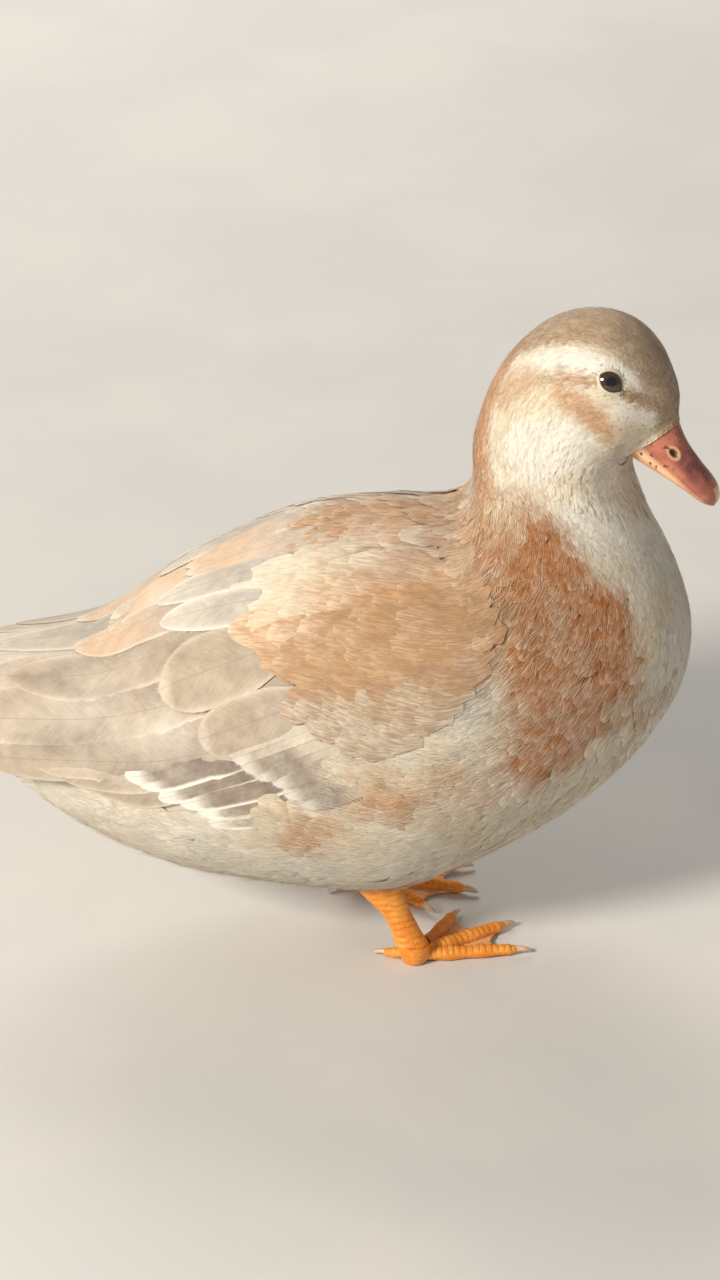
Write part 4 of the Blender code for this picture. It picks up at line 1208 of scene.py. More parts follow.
breastSpec = Spec(breastRule, 2.6, 0.3, 0.72)
breastTemplates = [featherTemplate(22, 0.16, 0.13) for _ in range(8)]
breastRoots = scatterRoots(
    evenly(breastFeathers["spacing"]), breastKeep, breastFeathers["from"], breastFeathers["to"]
)
breastParts = [("breastFeathers", 8.6, 26), ("flankFeathers", 6.0, 8.6), ("bellyFeathers", 0, 6.0)]
layParts(breastParts, breastRoots, breastTemplates, breastSpec, bodyCoat, "body_coat", paintBreast)

# Loose long strands over flank, belly and breast, which also roughen the outline
looseStrands = {"spacing": 3.6, "length": 15.0, "half": 3.2, "lift": 1.0}


def looseRule(u, degrees, points):
    length, _, _, _, swing = breastRule(u, degrees, points)
    low = 1 - smooth(35, 90, points[:, 2])
    length = looseStrands["length"] * chance.uniform(0.6, 1.2, len(u)) * (1 - 0.35 * smooth(8, 12, u))
    lift = looseStrands["lift"] * (0.4 + 0.6 * low + 1.3 * low * chance.uniform(0, 1, len(u)) ** 6)
    return length, looseStrands["half"], 0.0, lift, swing + chance.normal(0, 0.16, len(u))


def looseKeep(u, degrees):
    return breastKeep(u, degrees) * (0.35 + 0.65 * (1 - smooth(7.5, 10.5, u)))


def paintLoose(values, share, strand, tone):
    for key in ("rust", "apricot"):
        values[key] = values[key] * (0.35 + 0.4 * tone)
    values["white"] = np.maximum(values["white"], 0.35 * strand + 0 * share)


looseTemplates = [featherTemplate(7, 0.17, 0.15, None, (0.0, 0.25)) for _ in range(8)]
looseRoots = scatterRoots(evenly(looseStrands["spacing"]), looseKeep, 2.6, 12.4)
looseSpec = Spec(looseRule, 2.6, 0.35, 0.8)
layFeathers("looseStrands", looseRoots, looseTemplates, looseSpec, bodyCoat, "body_coat", paintLoose)

backFeathers = {"spacing": 5.0, "length": 22.0, "half": 7.0}
rumpFeathers = {"spacing": 3.4, "length": 12.0, "half": 4.2, "root": -1.0}


def backKeep(u, degrees):
    low = 64 - 16 * smooth(5, 6.5, u)
    return smooth(low, low + 14, levelOf(degrees)) * (u > 0.4) * (u < 12.3)


def rumpKeep(u, degrees):
    return (1 - smooth(48, 62, levelOf(degrees))) * (u > 0.2) * (u < 3.2)


def backRule(u, degrees, points):
    small = 1 - 0.5 * smooth(7.5, 12, u)
    length = backFeathers["length"] * chance.uniform(0.85, 1.15, len(u)) * small
    lift = 0.2 + 0.2 * chance.uniform(0, 1, len(u))
    return length, backFeathers["half"] * small, -1.3, lift, chance.normal(0, 0.1, len(u))


def rumpRule(u, degrees, points):
    length = rumpFeathers["length"] * chance.uniform(0.85, 1.15, len(u))
    lift = 0.2 + 0.3 * chance.uniform(0, 1, len(u))
    return length, rumpFeathers["half"], rumpFeathers["root"], lift, chance.normal(0, 0.1, len(u))


# Each mantle feather is greyer at its root and paler round its edge
def paintBack(values, share, strand, tone):
    values["grey"] = np.maximum(values["grey"], 0.3 * (tone > 0.6) * (1 - smooth(0.4, 0.95, share)))
    values["apricot"] = values["apricot"] * (0.8 + 0.3 * tone) * (1 - 0.3 * smooth(0.8, 1, share))


backSpec = Spec(backRule, 2.4, 0.25, 0.75)
backTemplates = [featherTemplate(26, 0.17, 0.08) for _ in range(8)]
backRoots = scatterRoots(
    lambda u, degrees: backFeathers["spacing"] - 1.6 * smooth(7.5, 12, u), backKeep, 0.4, 12.3
)
layFeathers("mantleFeathers", backRoots, backTemplates, backSpec, backCoat, "body_coat", paintBack)
rumpRoots = scatterRoots(evenly(rumpFeathers["spacing"]), rumpKeep, 0.2, 3.2)
rumpSpec = Spec(rumpRule, 1.5, 0.3)
layFeathers("rumpFeathers", rumpRoots, breastTemplates, rumpSpec, bodyCoat, "tail_coat", paintBreast)

# Soft feathers of the shoulder and the small coverts, which lie over the roots of the vanes
shoulderFeathers = {"spacing": 5.0, "length": 27.0, "half": 7.5, "root": 0.6, "tip": 1.7}
covertFeathers = {"spacing": 4.2, "length": 14.0, "half": 5.4, "root": 0.45, "tip": 1.05}


def shoulderKeep(u, degrees):
    low = np.interp(u, [6.05, 6.3, 6.75, 7.4, 7.8, 8.4, 9.6, 10.5], [42, 32, 25, 24, 25, 26, 29, 25])
    level = levelOf(degrees)
    return smooth(low - 1, low + 1, level) * (1 - smooth(60, 68, level)) * (u > 6.0) * (u < 10.35)


def covertKeep(u, degrees):
    low = np.interp(u, [6.2, 6.6, 7.0, 7.6, 8.4, 9.2, 10.0], [14, 8, 4, 6, 12, 20, 25])
    level = levelOf(degrees)
    return smooth(low - 1, low + 1, level) * (1 - smooth(30, 35, level)) * (u > 6.2) * (u < 10.2)


def wingSwing(degrees):
    return np.where(np.cos(np.radians(degrees)) > 0, 0.26, -0.26)


def shoulderRule(u, degrees, points):
    small = 1 - 0.68 * smooth(7.8, 10.4, u)
    length = shoulderFeathers["length"] * small * chance.uniform(0.92, 1.08, len(u))
    low = 1 - smooth(36, 54, levelOf(degrees))
    tip = (shoulderFeathers["tip"] + 0.25 * chance.uniform(0, 1, len(u))) * (0.3 + 0.7 * low)
    half = shoulderFeathers["half"] * small**0.7
    return length, half, shoulderFeathers["root"] * low - 0.3, tip, wingSwing(degrees)


def covertRule(u, degrees, points):
    length = covertFeathers["length"] * chance.uniform(0.9, 1.1, len(u))
    tip = covertFeathers["tip"] + 0.2 * chance.uniform(0, 1, len(u))
    return length, covertFeathers["half"], covertFeathers["root"], tip, wingSwing(degrees) * 1.4


# Each shoulder feather is browner at its root, as painted shade just past the tip of the feather before it, and a
# little paler round its end
def paintShoulder(values, share, strand, tone):
    root = 1 - smooth(0.3, 0.85, share)
    # The fawn added towards the root is painted shade beyond the tip that overlaps it
    values["fawn"] = values["fawn"] * (0.7 + 0.6 * tone) + 0.25 * root * values["apricot"]
    values["apricot"] = values["apricot"] * (0.85 + 0.25 * tone) * (1 - 0.35 * smooth(0.88, 1.02, share))
    values["white"] = np.maximum(values["white"], 0.5 * (strand > 0.8) * smooth(0.5, 1, share))


def paintCovert(values, share, strand, tone):
    end = smooth(0.62, 0.95, share)
    values["grey"] = np.maximum(values["grey"] * (1.2 - 0.6 * end), (0.34 + 0.22 * tone) * (1 - 0.35 * end))
    values["fawn"] = np.maximum(values["fawn"], 0.34 + 0.1 * (1 - tone) * (1 - end))
    values["apricot"] = np.maximum(values["apricot"], 0.16 * (tone > 0.5))
    values["white"] = np.maximum(values["white"], 0.12 * end)


shoulderTemplates = [featherTemplate(26, 0.15, 0.07) for _ in range(8)]
covertTemplates = [featherTemplate(14, 0.15, 0.12) for _ in range(8)]
shoulderRoots = scatterRoots(
    lambda u, degrees: shoulderFeathers["spacing"] * (1 - 0.5 * smooth(7.8, 10.4, u)), shoulderKeep, 6.0, 10.4
)
covertRoots = scatterRoots(evenly(covertFeathers["spacing"]), covertKeep, 6.2, 10.2)
shoulderSpec, covertSpec = Spec(shoulderRule, 1.5, 0.25, 0.85), Spec(covertRule, 3.0, 0.2, 0.85)
for laid in (
    ("shoulderFeathers", shoulderRoots, shoulderTemplates, shoulderSpec, shoulderCoat, "wing_coat", paintShoulder),
    ("covertFeathers", covertRoots, covertTemplates, covertSpec, shoulderCoat, "wing_coat", paintCovert),
):
    layFeathers(*laid)

print("small feathers laid, now the wings and the tail")

# Rows of vanes on each wing, lowest layer first: how many, roots of the first and last (x, degrees),
# their tips, half width, how far out roots and tips lie, how blunt the tip is, and the row's colouring
wingRows = {
    "primaries": (8, (-58, 6), (-64, 32), (-143, 0), (-139, 30), 5.0, (-4.0, -1.6), 0.5, "primary"),
    "outerSecondaries": (6, (-4, -4), (-40, 8), (-60, -20), (-90, -4), 5.4, (-3.0, 0.2), 0.75, "speculum"),
    "innerSecondaries": (3, (-34, 4), (-50, 12), (-104, -14), (-120, -4), 7.5, (-3.0, 0.3), 0.7, "tertial"),
    "greaterCoverts": (8, (12, 6), (-18, 22), (-30, -9), (-62, 8), 5.0, (-2.6, 0.7), 0.95, "bar"),
}
# Large feathers of inner wing and shoulder, each placed by itself:
# root, tip, half width, how far out its tip lies, colouring
shoulder = [
    ((8, 14), (-46, 8), 12.0, -1.6, "creamCovert"),
    ((2, 32), (-50, 24), 13.0, -1.2, "creamCovert"),
    ((-30, 16), (-100, 8), 10.0, -0.3, "tertial"),
    ((-38, -6), (-98, -20), 8.0, -1.4, "primary"),
    ((-44, 6), (-139, -4), 12.0, 0.5, "tertial"),
    ((-40, 74), (-141, 82), 10.0, 0.4, "innerScapular"),
    ((-48, 26), (-142, 28), 13.0, 0.8, "tertial"),
    ((-42, 62), (-140, 62), 11.0, 0.7, "tertial"),
    ((-26, 84), (-134, 92), 10.5, 0.9, "innerScapular"),
    ((-46, 46), (-128, 60), 10.0, 1.1, "tertial"),
    ((-34, 64), (-106, 79), 9.0, 1.1, "goldenEnd"),
    ((-6, 84), (-96, 89), 9.5, 0.6, "goldenEnd"),
    ((-22, 22), (-63, 12), 11.0, 1.0, "creamCovert"),
    ((-28, 42), (-76, 34), 12.5, 1.3, "creamCovert"),
    ((-14, 54), (-78, 64), 8.0, 1.3, "innerScapular"),
    ((-4, 66), (-80, 78), 7.5, 1.0, "innerScapular"),
    ((6, 76), (-66, 88), 7.5, 0.8, "goldenEnd"),
]
wingRows |= {
    f"shoulder{i}": (1, root, root, tip, tip, half, (-1.8 if out > 0 else -3.4, out), 0.62, style)
    for i, (root, tip, half, out, style) in enumerate(shoulder)
}
vane = {"rows": 17, "columns": 11, "thick": 0.08, "stack": 0.2, "mostTilt": 0.1, "camber": 0.3, "softness": 0.85}
# Millimetres that loose barbs stand past a vane's edge
barbLength = {"primary": 0.3, "tertial": 0.5, "speculum": 0.5, "bar": 1.2}


# A vane's grid: shares of length, of half width, and each column's own share
def vaneTemplate(bluntness):
    t = np.linspace(0, 1, vane["rows"])
    t = 1 - (1 - t) ** 1.35
    shoulderAt = 0.80 - 0.32 * (1 - bluntness)
    past = np.clip((t - shoulderAt) / (1 - shoulderAt), 0, 1)
    rounding = np.sqrt(np.maximum(1 - past**2, 0)) ** (1.0 + 0.5 * (1 - bluntness))
    wide = (0.45 + 0.55 * smooth(0, 0.45, t)) * rounding
    wide = np.maximum(wide, 0.03)
    c = np.linspace(-1, 1, vane["columns"])
    along, across = np.meshgrid(t, c, indexing="ij")
    return along, across * wide[:, None], wide, across


# Triangles of fine barbs round a vane's tip and edges: shares along and across, three to each barb
def looseBarbs(rng, t, wide, size, length, reach):
    low = t > 0.3
    s = np.concatenate([t[low], t[low][::-1]])
    a = np.concatenate([-wide[low], wide[low][::-1]])
    arc = np.concatenate([[0], np.cumsum(np.hypot(np.diff(s) * length, np.diff(a) * size))])
    at = np.arange(0.2, arc[-1], 0.34) + rng.uniform(-0.12, 0.12, len(np.arange(0.2, arc[-1], 0.34)))
    s, a = np.interp(at, arc, s), np.interp(at, arc, a) * 0.99
    angle = np.radians(52) * np.clip(np.abs(a) * 1.1, 0, 1) * np.sign(a)
    long = reach * rng.uniform(0.3, 1.1, len(at))
    ahead, aside = np.cos(angle) / length, np.sin(angle) / size
    sideways = 0.09 * np.cos(angle) / size, -0.09 * np.sin(angle) / length
    back = 0.25
    along = np.stack([s - back * ahead + sideways[1], s - back * ahead - sideways[1], s + long * ahead], -1)
    across = np.stack([a - back * aside + sideways[0], a - back * aside - sideways[0], a + long * aside], -1)
    return along, across


# Closed thin vanes for rows given as in wingRows, with loose barbs at their edges and their colour shares
def layVanes(surface, rows, seedOffset, step):
    rng = np.random.default_rng(20 + seedOffset)
    allPoints, allTriangles, allUnwrap, allNormals = [], [], [], []
    allMarks = {key: [] for key in [*(label.lower() for label in markNames), "feather"]}
    cells = sum(row[0] for row in rows.values())
    columns = math.ceil(math.sqrt(cells * 2.2))
    base = cell = 0
    for count, firstRoot, lastRoot, firstTip, lastTip, half, outs, bluntness, style in rows.values():
        t = np.linspace(0, 1, count)[:, None] if count > 1 else np.zeros((1, 1))
        root = np.array(firstRoot) + (np.array(lastRoot) - np.array(firstRoot)) * t
        tip = np.array(firstTip) + (np.array(lastTip) - np.array(firstTip)) * t
        tip[:, 0] += rng.uniform(-1, 1, count) * min(2.5, half * 0.3)
        tip[:, 1] += rng.uniform(-1, 1, count) * min(2.0, half * 0.2)
        tilt = rowTilt(surface, count, firstRoot, lastRoot, firstTip, lastTip, outs)
        along, across, wide, column = vaneTemplate(bluntness)
        for i in range(count):
            size = half * rng.uniform(0.94, 1.06)
            bow = rng.uniform(-0.03, 0.03)
            tone, shade = rng.uniform(0, 1), rng.uniform(0.2, 0.8)
            seat = tip[i, 0] - root[i, 0], tip[i, 1] - root[i, 1]

            def lay(s, share, columnShare, raised):
                x, d = root[i, 0] + seat[0] * s, root[i, 1] + seat[1] * s
                radius = arcRadius(surface, x, d)
                dx, dy = seat[0], radius * np.radians(seat[1])
                length = np.hypot(dx, dy)
                off = share * size + bow * length * np.sin(math.pi * np.clip(s, 0, 1))
                lift = outs[0] + (outs[1] - outs[0]) * np.maximum(s, 0) ** 0.6 - tilt * off + raised
                widthHere = np.interp(s, along[:, 0], wide)
                lift = lift + vane["camber"] * (1 - columnShare**2) * widthHere * size / 8
                x, d = x + off * dy / length, d - np.degrees(off * dx / length / radius)
                normal = outwardNormal(surface, x, d, step)
                return surface(x, d, lift), surface(x, d, lift - vane["thick"]), normal, off, length

            ridge = 0.08 * (np.abs(column) < 0.05)
            top, low, normal, off, length = lay(along, across, column, ridge)
            grid = top.shape[0] * top.shape[1]
            upper = gridTriangles(*along.shape)
            closed = np.vstack([upper, upper[:, ::-1] + grid, rimTriangles(*along.shape, grid)])
            allPoints += [top.reshape(-1, 3), low.reshape(-1, 3)]
            allTriangles.append(outwardFirst(np.vstack([top.reshape(-1, 3), low.reshape(-1, 3)]), closed) + base)
            base += 2 * grid
            own = gridNormals(top)
            own = own * np.sign(np.einsum("ijk,ijk->ij", own, normal))[..., None]
            mixed = unit(own * (1 - vane["softness"]) + normal * vane["softness"]).reshape(-1, 3)
            allNormals += [mixed, -mixed]

            reach = barbLength.get(style, 1.3)
            hairS, hairA = looseBarbs(rng, along[:, 0], wide, size, float(length.mean()), reach)
            hairC = np.sign(hairA)
            hairs, _, hairNormal, hairOff, hairLength = lay(hairS, hairA, hairC, 0.02)
            allPoints.append(hairs.reshape(-1, 3))
            turn = np.cross(hairs[:, 1] - hairs[:, 0], hairs[:, 2] - hairs[:, 0])
            inward = np.einsum("ij,ij->i", turn, hairNormal[:, 0]) < 0
            index = np.arange(hairs.shape[0] * 3).reshape(-1, 3)
            index[inward] = index[inward][:, ::-1]
            allTriangles.append(index + base)
            base += index.size
            allNormals.append(hairNormal.reshape(-1, 3))

            place = i / max(1, count - 1)
            shares = vaneColours[style](along, column, tone, place)
            hairShares = vaneColours[style](np.clip(hairS, 0, 1), hairC, tone, place)
            for key in allMarks:
                if key == "feather":
                    values = np.stack([off, along * length, np.full(along.shape, shade)], -1).reshape(-1, 3)
                    mixed = np.stack([hairOff, hairS * hairLength, np.full(hairS.shape, shade)], -1).reshape(-1, 3)
                else:
                    values = np.broadcast_to(np.clip(shares.get(key, 0.0), 0, 1), along.shape).ravel()
                    mixed = np.broadcast_to(np.clip(hairShares.get(key, 0.0), 0, 1), hairS.shape).ravel()
                allMarks[key] += [values, values, mixed]
            corner = np.array([cell % columns, cell // columns]) / columns
            span = 0.92 / columns
            local = np.stack([(column + 1) / 2 * 0.46 * span, along * span], -1).reshape(-1, 2) + corner
            hairLocal = np.stack([(hairC + 1) / 2 * 0.46 * span, np.clip(hairS, 0, 1) * span], -1)
            allUnwrap += [local, local + [0.5 * span, 0], hairLocal.reshape(-1, 2) + corner]
            cell += 1
    joined = {key: np.concatenate(values) for key, values in allMarks.items()}
    together = [np.concatenate(items) for items in (allPoints, allTriangles)]
    return (*together, joined, np.concatenate(allUnwrap), np.concatenate(allNormals))


def rimTriangles(rows, columns, grid):
    edge = [(i, 0) for i in range(rows)] + [(rows - 1, k) for k in range(1, columns)]
    edge += [(i, columns - 1) for i in range(rows - 2, -1, -1)] + [(0, k) for k in range(columns - 2, 0, -1)]
    line = np.array([i * columns + k for i, k in edge])
    after = np.roll(line, -1)
    return np.vstack(
        [np.column_stack([line, after, after + grid]), np.column_stack([line, after + grid, line + grid])]
    )


# Millimetres that one radian round the surface takes
def arcRadius(surface, x, degrees):
    gap = surface(x, degrees + 1.0, 0 * x) - surface(x, degrees, 0 * x)
    return np.linalg.norm(gap, axis=-1) / math.radians(1)


# How far a row's vanes lean, so that each one lies over the one before it
def rowTilt(surface, count, firstRoot, lastRoot, firstTip, lastTip, outs):
    if count < 2:
        return 0.0
    x, d = np.array([(firstTip[0] + lastTip[0]) / 2]), np.array([(firstTip[1] + lastTip[1]) / 2])
    radius = float(arcRadius(surface, x, d)[0])
    along = np.array([firstTip[0] - firstRoot[0], radius * math.radians(firstTip[1] - firstRoot[1])])
    rise = (outs[1] - outs[0]) / np.linalg.norm(along) * 0.6
    along = along / np.linalg.norm(along)
    step = np.array([lastTip[0] - firstTip[0], radius * math.radians(lastTip[1] - firstTip[1])]) / (count - 1)
    beside = step[0] * along[1] - step[1] * along[0]
    if abs(beside) < 0.4:
        return 0.0
    return float(np.clip((vane["stack"] + rise * (step @ along)) / beside, -vane["mostTilt"], vane["mostTilt"]))


# The colouring of each kind of vane: s along it, c across it, a random tone, and its place in the row
def tertialColours(s, c, tone, place):
    edge = smooth(0.72, 1.0, np.abs(c))
    smudge = np.sin(s * 9 + tone * 20) * np.sin(c * 2.5 + tone * 9)
    return {
        "white": 0.3 + 0.3 * edge,
        "grey": (0.48 + 0.16 * tone + 0.2 * smudge) * (1 - 0.7 * edge) * (1 - 0.3 * smooth(0.7, 1, s)),
        "apricot": 0.2 * smooth(0.75, 1, s) * (0.3 + tone) + 0.1 * edge + 0.08,
        "fawn": 0.12 * (1 - edge),
    }


def primaryColours(s, c, tone, place):
    return {"white": 0.75 + 0 * s, "grey": 0.2 * (1 - smooth(0.5, 1, np.abs(c)))}


def speculumColours(s, c, tone, place):
    edge = np.maximum(smooth(0.62, 0.80, -c), smooth(0.80, 0.92, s))
    return {"grey": (0.95 - 0.1 * smooth(0.3, 0.8, s)) * (1 - edge), "dark": 0.1 * (1 - edge), "white": edge}


def barColours(s, c, tone, place):
    lower = 1 - 0.75 * smooth(0.55, 0.95, place)
    tip = smooth(0.88, 0.92, s)
    band = smooth(0.5, 0.66, s) * (1 - tip) * lower
    grey = np.maximum(0.8 * band, 0.25 + 0.15 * tone)
    return {"grey": grey, "dark": 0.1 * band, "white": tip * (0.4 + 0.6 * lower)}


def creamCovertColours(s, c, tone, place):
    edge = smooth(0.75, 0.98, np.maximum(np.abs(c), smooth(0.7, 1, s)))
    return {
        "grey": (0.6 + 0.16 * tone) * (1 - 0.5 * edge),
        "fawn": 0.16 * (1 - edge),
        "apricot": 0.22 * tone * s + 0.12,
        "white": 0.25 * edge,
    }


# Greyer feathers between shoulder and rump
def innerScapularColours(s, c, tone, place):
    edge = smooth(0.7, 1.0, np.abs(c))
    return {
        "white": 0.55 + 0.3 * edge,
        "grey": (0.58 + 0.2 * tone) * (1 - 0.8 * edge) * (1 - 0.4 * smooth(0.6, 0.95, s)),
        "apricot": 0.12 * smooth(0.55, 0.9, s) * tone,
    }


def goldenEndColours(s, c, tone, place):
    edge = smooth(0.8, 1.0, np.maximum(np.abs(c), smooth(0.85, 1, s)))
    end = smooth(0.5, 0.8, s)
    return {
        "white": 0.4 + 0.4 * edge,
        "grey": 0.4 * (1 - edge) * (1 - end),
        "apricot": (0.35 + 0.25 * end) * (1 - 0.5 * edge),
    }


vaneColours = {
    "tertial": tertialColours,
    "primary": primaryColours,
    "speculum": speculumColours,
    "bar": barColours,
    "creamCovert": creamCovertColours,
    "innerScapular": innerScapularColours,
    "goldenEnd": goldenEndColours,
}

for side, label in ((1, "left"), (-1, "right")):

    def wingSurface(x, degrees, out, side=side):
        return onWingSurface(x, degrees, out, side)

    points, triangles, marks, unwrap, normals = layVanes(wingSurface, wingRows, 1, 1.5)
    wing = makePiece(f"wing_{label}Vanes", points, triangles, vaneCoat, marks, unwrap, normals)
    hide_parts(f"wing_{label}")
    print(wing.name, len(wing.data.polygons), "triangles")

tail = {
    "from": (-102, 90),
    "rise": 0.12,
    "stack": 0.62,
    "rows": {
        "tailVanes": (7, 1.6, 3.4, 16, 64, 0.9, 5.6, 0.0, "primary"),
        "upperCoverts": (6, 3, 9.0, 2, 45, 1.1, 7.5, 6.0, "primary"),
        "rumpCoverts": (5, 3, 11.0, -8, 28, 1.0, 7.5, 8.5, "primary"),
    },
}


def onFan(reach, degrees, out):
    angle = np.radians(degrees)
    x = tail["from"][0] - reach * np.cos(angle)
    return np.stack([x, reach * np.sin(angle), tail["from"][1] + tail["rise"] * reach + out], -1)


fanRows = {}
for key, (pairs, first, step, root, length, shorter, half, height, style) in tail["rows"].items():
    for i in range(pairs):
        for side in (1, -1):
            spread = side * (first + step * i)
            out = height - tail["stack"] * (2 * i + (side == -1)) * (5 / pairs)
            reach = length - shorter * i**1.5
            fanRows[f"{key}{i}{side}"] = (
                1, (root, spread), (root, spread), (reach, spread), (reach, spread), half, (out, out), 0.6, style
            )
points, triangles, marks, unwrap, normals = layVanes(onFan, fanRows, 2, 1.0)
makePiece("tailVanes", points, triangles, vaneCoat, marks, unwrap, normals)

print("wings and tail laid, now eyes and bill")


# Eyes and lids
def buildEye(side, label):
    way, ahead, up = eyeAxes(side)
    tilt = np.linspace(0, math.pi, 49)
    around = np.linspace(0, 2 * math.pi, 64, endpoint=False)
    gridTilt, gridAround = np.meshgrid(tilt, around, indexing="ij")
    radius = eyes["radius"] + eyes["bulge"] * np.exp(-(gridTilt**2) / 0.16)
    local = [np.sin(gridTilt) * np.cos(gridAround), np.sin(gridTilt) * np.sin(gridAround), np.cos(gridTilt)]
    points = sum(part[..., None] * axis for part, axis in zip(local, (ahead, up, way))) * radius[..., None]
    points = points + eyeCentre(side)
    reach = np.where(gridTilt < math.pi / 2, radius * np.sin(gridTilt), 9.0)
    triangles = outwardFirst(points - eyeCentre(side), gridTriangles(len(tilt), len(around), wrap=True))
    eye = makePiece(f"eye_{label}Ball", points, triangles, eyeWet, {"fromPupil": reach.ravel()})
    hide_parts(f"eye_{label}")

    angle = np.linspace(0, 2 * math.pi, 72, endpoint=False)
    inner = lidOpening(angle)
    rings = []
    for out, rise in eyes["lids"]:
        reach = inner + out
        height = np.sqrt(np.maximum((eyes["radius"] + rise) ** 2 - reach**2, 0.1))
        ring = reach[:, None] * (np.cos(angle)[:, None] * ahead + np.sin(angle)[:, None] * up)
        rings.append(ring + height[:, None] * way + eyeCentre(side))
    away = np.repeat([out for out, rise in eyes["lids"]], len(angle))
    triangles = gridTriangles(len(rings), len(angle), wrap=True)[:, :: int(side)]
    makePiece(f"lid_{label}", np.array(rings), triangles, lidSkin, {"away": away})


for side, label in ((1, "left"), (-1, "right")):
    buildEye(side, label)

# The bill in head axes: top (ahead, up), cutting edge (ahead, up), half width
bill = {
    "upper": [
        (21.2, -6.5, 15.0, -23.8, 8.4),
        (24.2, -8.5, 17.6, -23.9, 8.5),
        (27.6, -11.6, 22, -24.1, 8.2),
        (32.4, -15.0, 28, -24.5, 7.9),
        (39.0, -18.2, 35, -24.7, 8.0),
        (44.5, -20.7, 41.5, -25.1, 8.2),
        (47.8, -22.5, 46, -25.9, 7.0),
        (49.6, -24.4, 48.8, -26.7, 4.2),
        (50.2, -25.8, 49.9, -27.2, 2.0),
    ],
    "lower": [
        (14, -24.3, 13.6, -28.0, 7.6),
        (18, -24.3, 16.6, -28.0, 7.5),
        (28, -24.7, 27.5, -27.6, 7.0),
        (37, -25.1, 37, -27.2, 7.0),
        (43, -25.6, 43, -27.2, 6.7),
        (46.5, -26.3, 46.5, -27.5, 5.0),
        (48.2, -26.9, 48.2, -27.7, 2.6),
    ],
    "nostril": (29.6, -17.0),
    "nostrilSize": (1.8, 1.0),
    "nostrilTilt": 20,
}


# A tube of rings with a fan over each end, facing outwards
def closedTube(points):
    steps, around = points.shape[:2]
    flat = points.reshape(-1, 3)
    triangles = [gridTriangles(steps, around, wrap=True)]
    for row in (0, steps - 1):
        centre = len(flat)
        flat = np.vstack([flat, points[row].mean(0)])
        ring = row * around + np.arange(around)
        fan = np.column_stack([ring, np.roll(ring, -1), np.full(around, centre)])
        triangles.append(fan[:, ::-1] if row else fan)
    return flat, outwardFirst(flat - flat.mean(0), np.vstack(triangles))


def buildUpperBill():
    steps, around = 110, 73
    t = np.linspace(0, len(bill["upper"]) - 1, steps)
    rows = splineRows(np.array(bill["upper"], float), t)
    angle = np.linspace(0, math.pi, around)
    share = np.sin(angle)[None, :] ** 0.9
    ahead = rows[:, 2:3] + (rows[:, 0:1] - rows[:, 2:3]) * share
    up = rows[:, 3:4] + (rows[:, 1:2] - rows[:, 3:4]) * share
    left = rows[:, 4:5] * np.cos(angle)[None, :]
    local = np.stack([ahead, up, left], -1)
    normal = gridNormals(local)
    normal = normal * np.sign((normal[..., 1:2] * 1.0).mean())
    tilt = math.radians(bill["nostrilTilt"])
    da, du = ahead - bill["nostril"][0], up - bill["nostril"][1]
    q = np.hypot(
        (da * math.cos(tilt) - du * math.sin(tilt)) / bill["nostrilSize"][0],
        (da * math.sin(tilt) + du * math.cos(tilt)) / bill["nostrilSize"][1],
    )
    edge = np.minimum(angle, math.pi - angle)[None, :] + 0 * ahead
    hole = 1 - smooth(0.55, 1.0, q)
    rim = np.exp(-(((q - 1.35) / 0.3) ** 2))
    nail = smooth(46.8, 47.6, ahead) * (1 - smooth(1.8, 2.4, np.abs(left)))
    lip = 0.22 * np.exp(-((edge / 0.14) ** 2)) - 0.16 * np.exp(-(((edge - 0.34) / 0.1) ** 2))
    raised = -1.1 * hole + 0.2 * rim + lip + 0.25 * nail
    points = headPoint(*np.moveaxis(local + normal * raised[..., None], -1, 0))
    # culmen darkens the top of the bill as painted shade; centre is a dark patch of the bill's own; the culmen
    # mark carries both
    culmen = smooth(0.95, 1.42, edge) * (1 - 0.7 * smooth(42, 47, ahead)) * smooth(24, 31, ahead)
    centre = np.exp(-(((ahead - 36) / 5.5) ** 2)) * smooth(0.35, 0.8, edge)
    marks = {
        "edge": (1 - smooth(0.10, 0.26, edge)) * (0.95 - 0.6 * smooth(30, 42, ahead)),
        "culmen": np.maximum(culmen * 0.75, centre * 0.9),
        "pale": np.maximum(nail * 0.9, 0.8 * np.exp(-(((q - 1.3) / 0.3) ** 2))),
        # hole also colours the nostril near black in the shader: painted shade inside it
        "hole": hole,
        "speckled": np.clip(0.3 + 0.7 * (1 - smooth(26, 38, ahead)), 0, 1),
    }
    values = {key: np.append(value.ravel(), [value[0].mean(), value[-1].mean()]) for key, value in marks.items()}
    return (*closedTube(points), values)


def buildLowerBill():
    steps, around = 60, 41
    t = np.linspace(0, len(bill["lower"]) - 1, steps)
    rows = splineRows(np.array(bill["lower"], float), t)
    angle = np.linspace(0, math.pi, around)
    share = np.sin(angle)[None, :] ** 0.7
    ahead = rows[:, 0:1] + (rows[:, 2:3] - rows[:, 0:1]) * share
    up = rows[:, 1:2] + (rows[:, 3:4] - rows[:, 1:2]) * share
    left = rows[:, 4:5] * np.cos(angle)[None, :]
    up = up + 0.25 * np.exp(-(((np.minimum(angle, math.pi - angle) - 0.5) / 0.15) ** 2))[None, :]
    points = headPoint(ahead, up, left)
    size = steps * around + 2
    values = {
        "edge": np.full(size, 0.55),
        "culmen": np.zeros(size),
        "pale": np.zeros(size),
        "hole": np.zeros(size),
        "speckled": np.full(size, 0.5),
    }
    return (*closedTube(points), values)


flat, triangles, values = buildUpperBill()
upperBill = makePiece("upperBill", flat, triangles, billHorn, values)
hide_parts("bill_upper")
flat, triangles, values = buildLowerBill()
lowerBill = makePiece("lowerBill", flat, triangles, billHorn, values)
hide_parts("bill_lower")

print("bill and eyes made, now legs and feet")

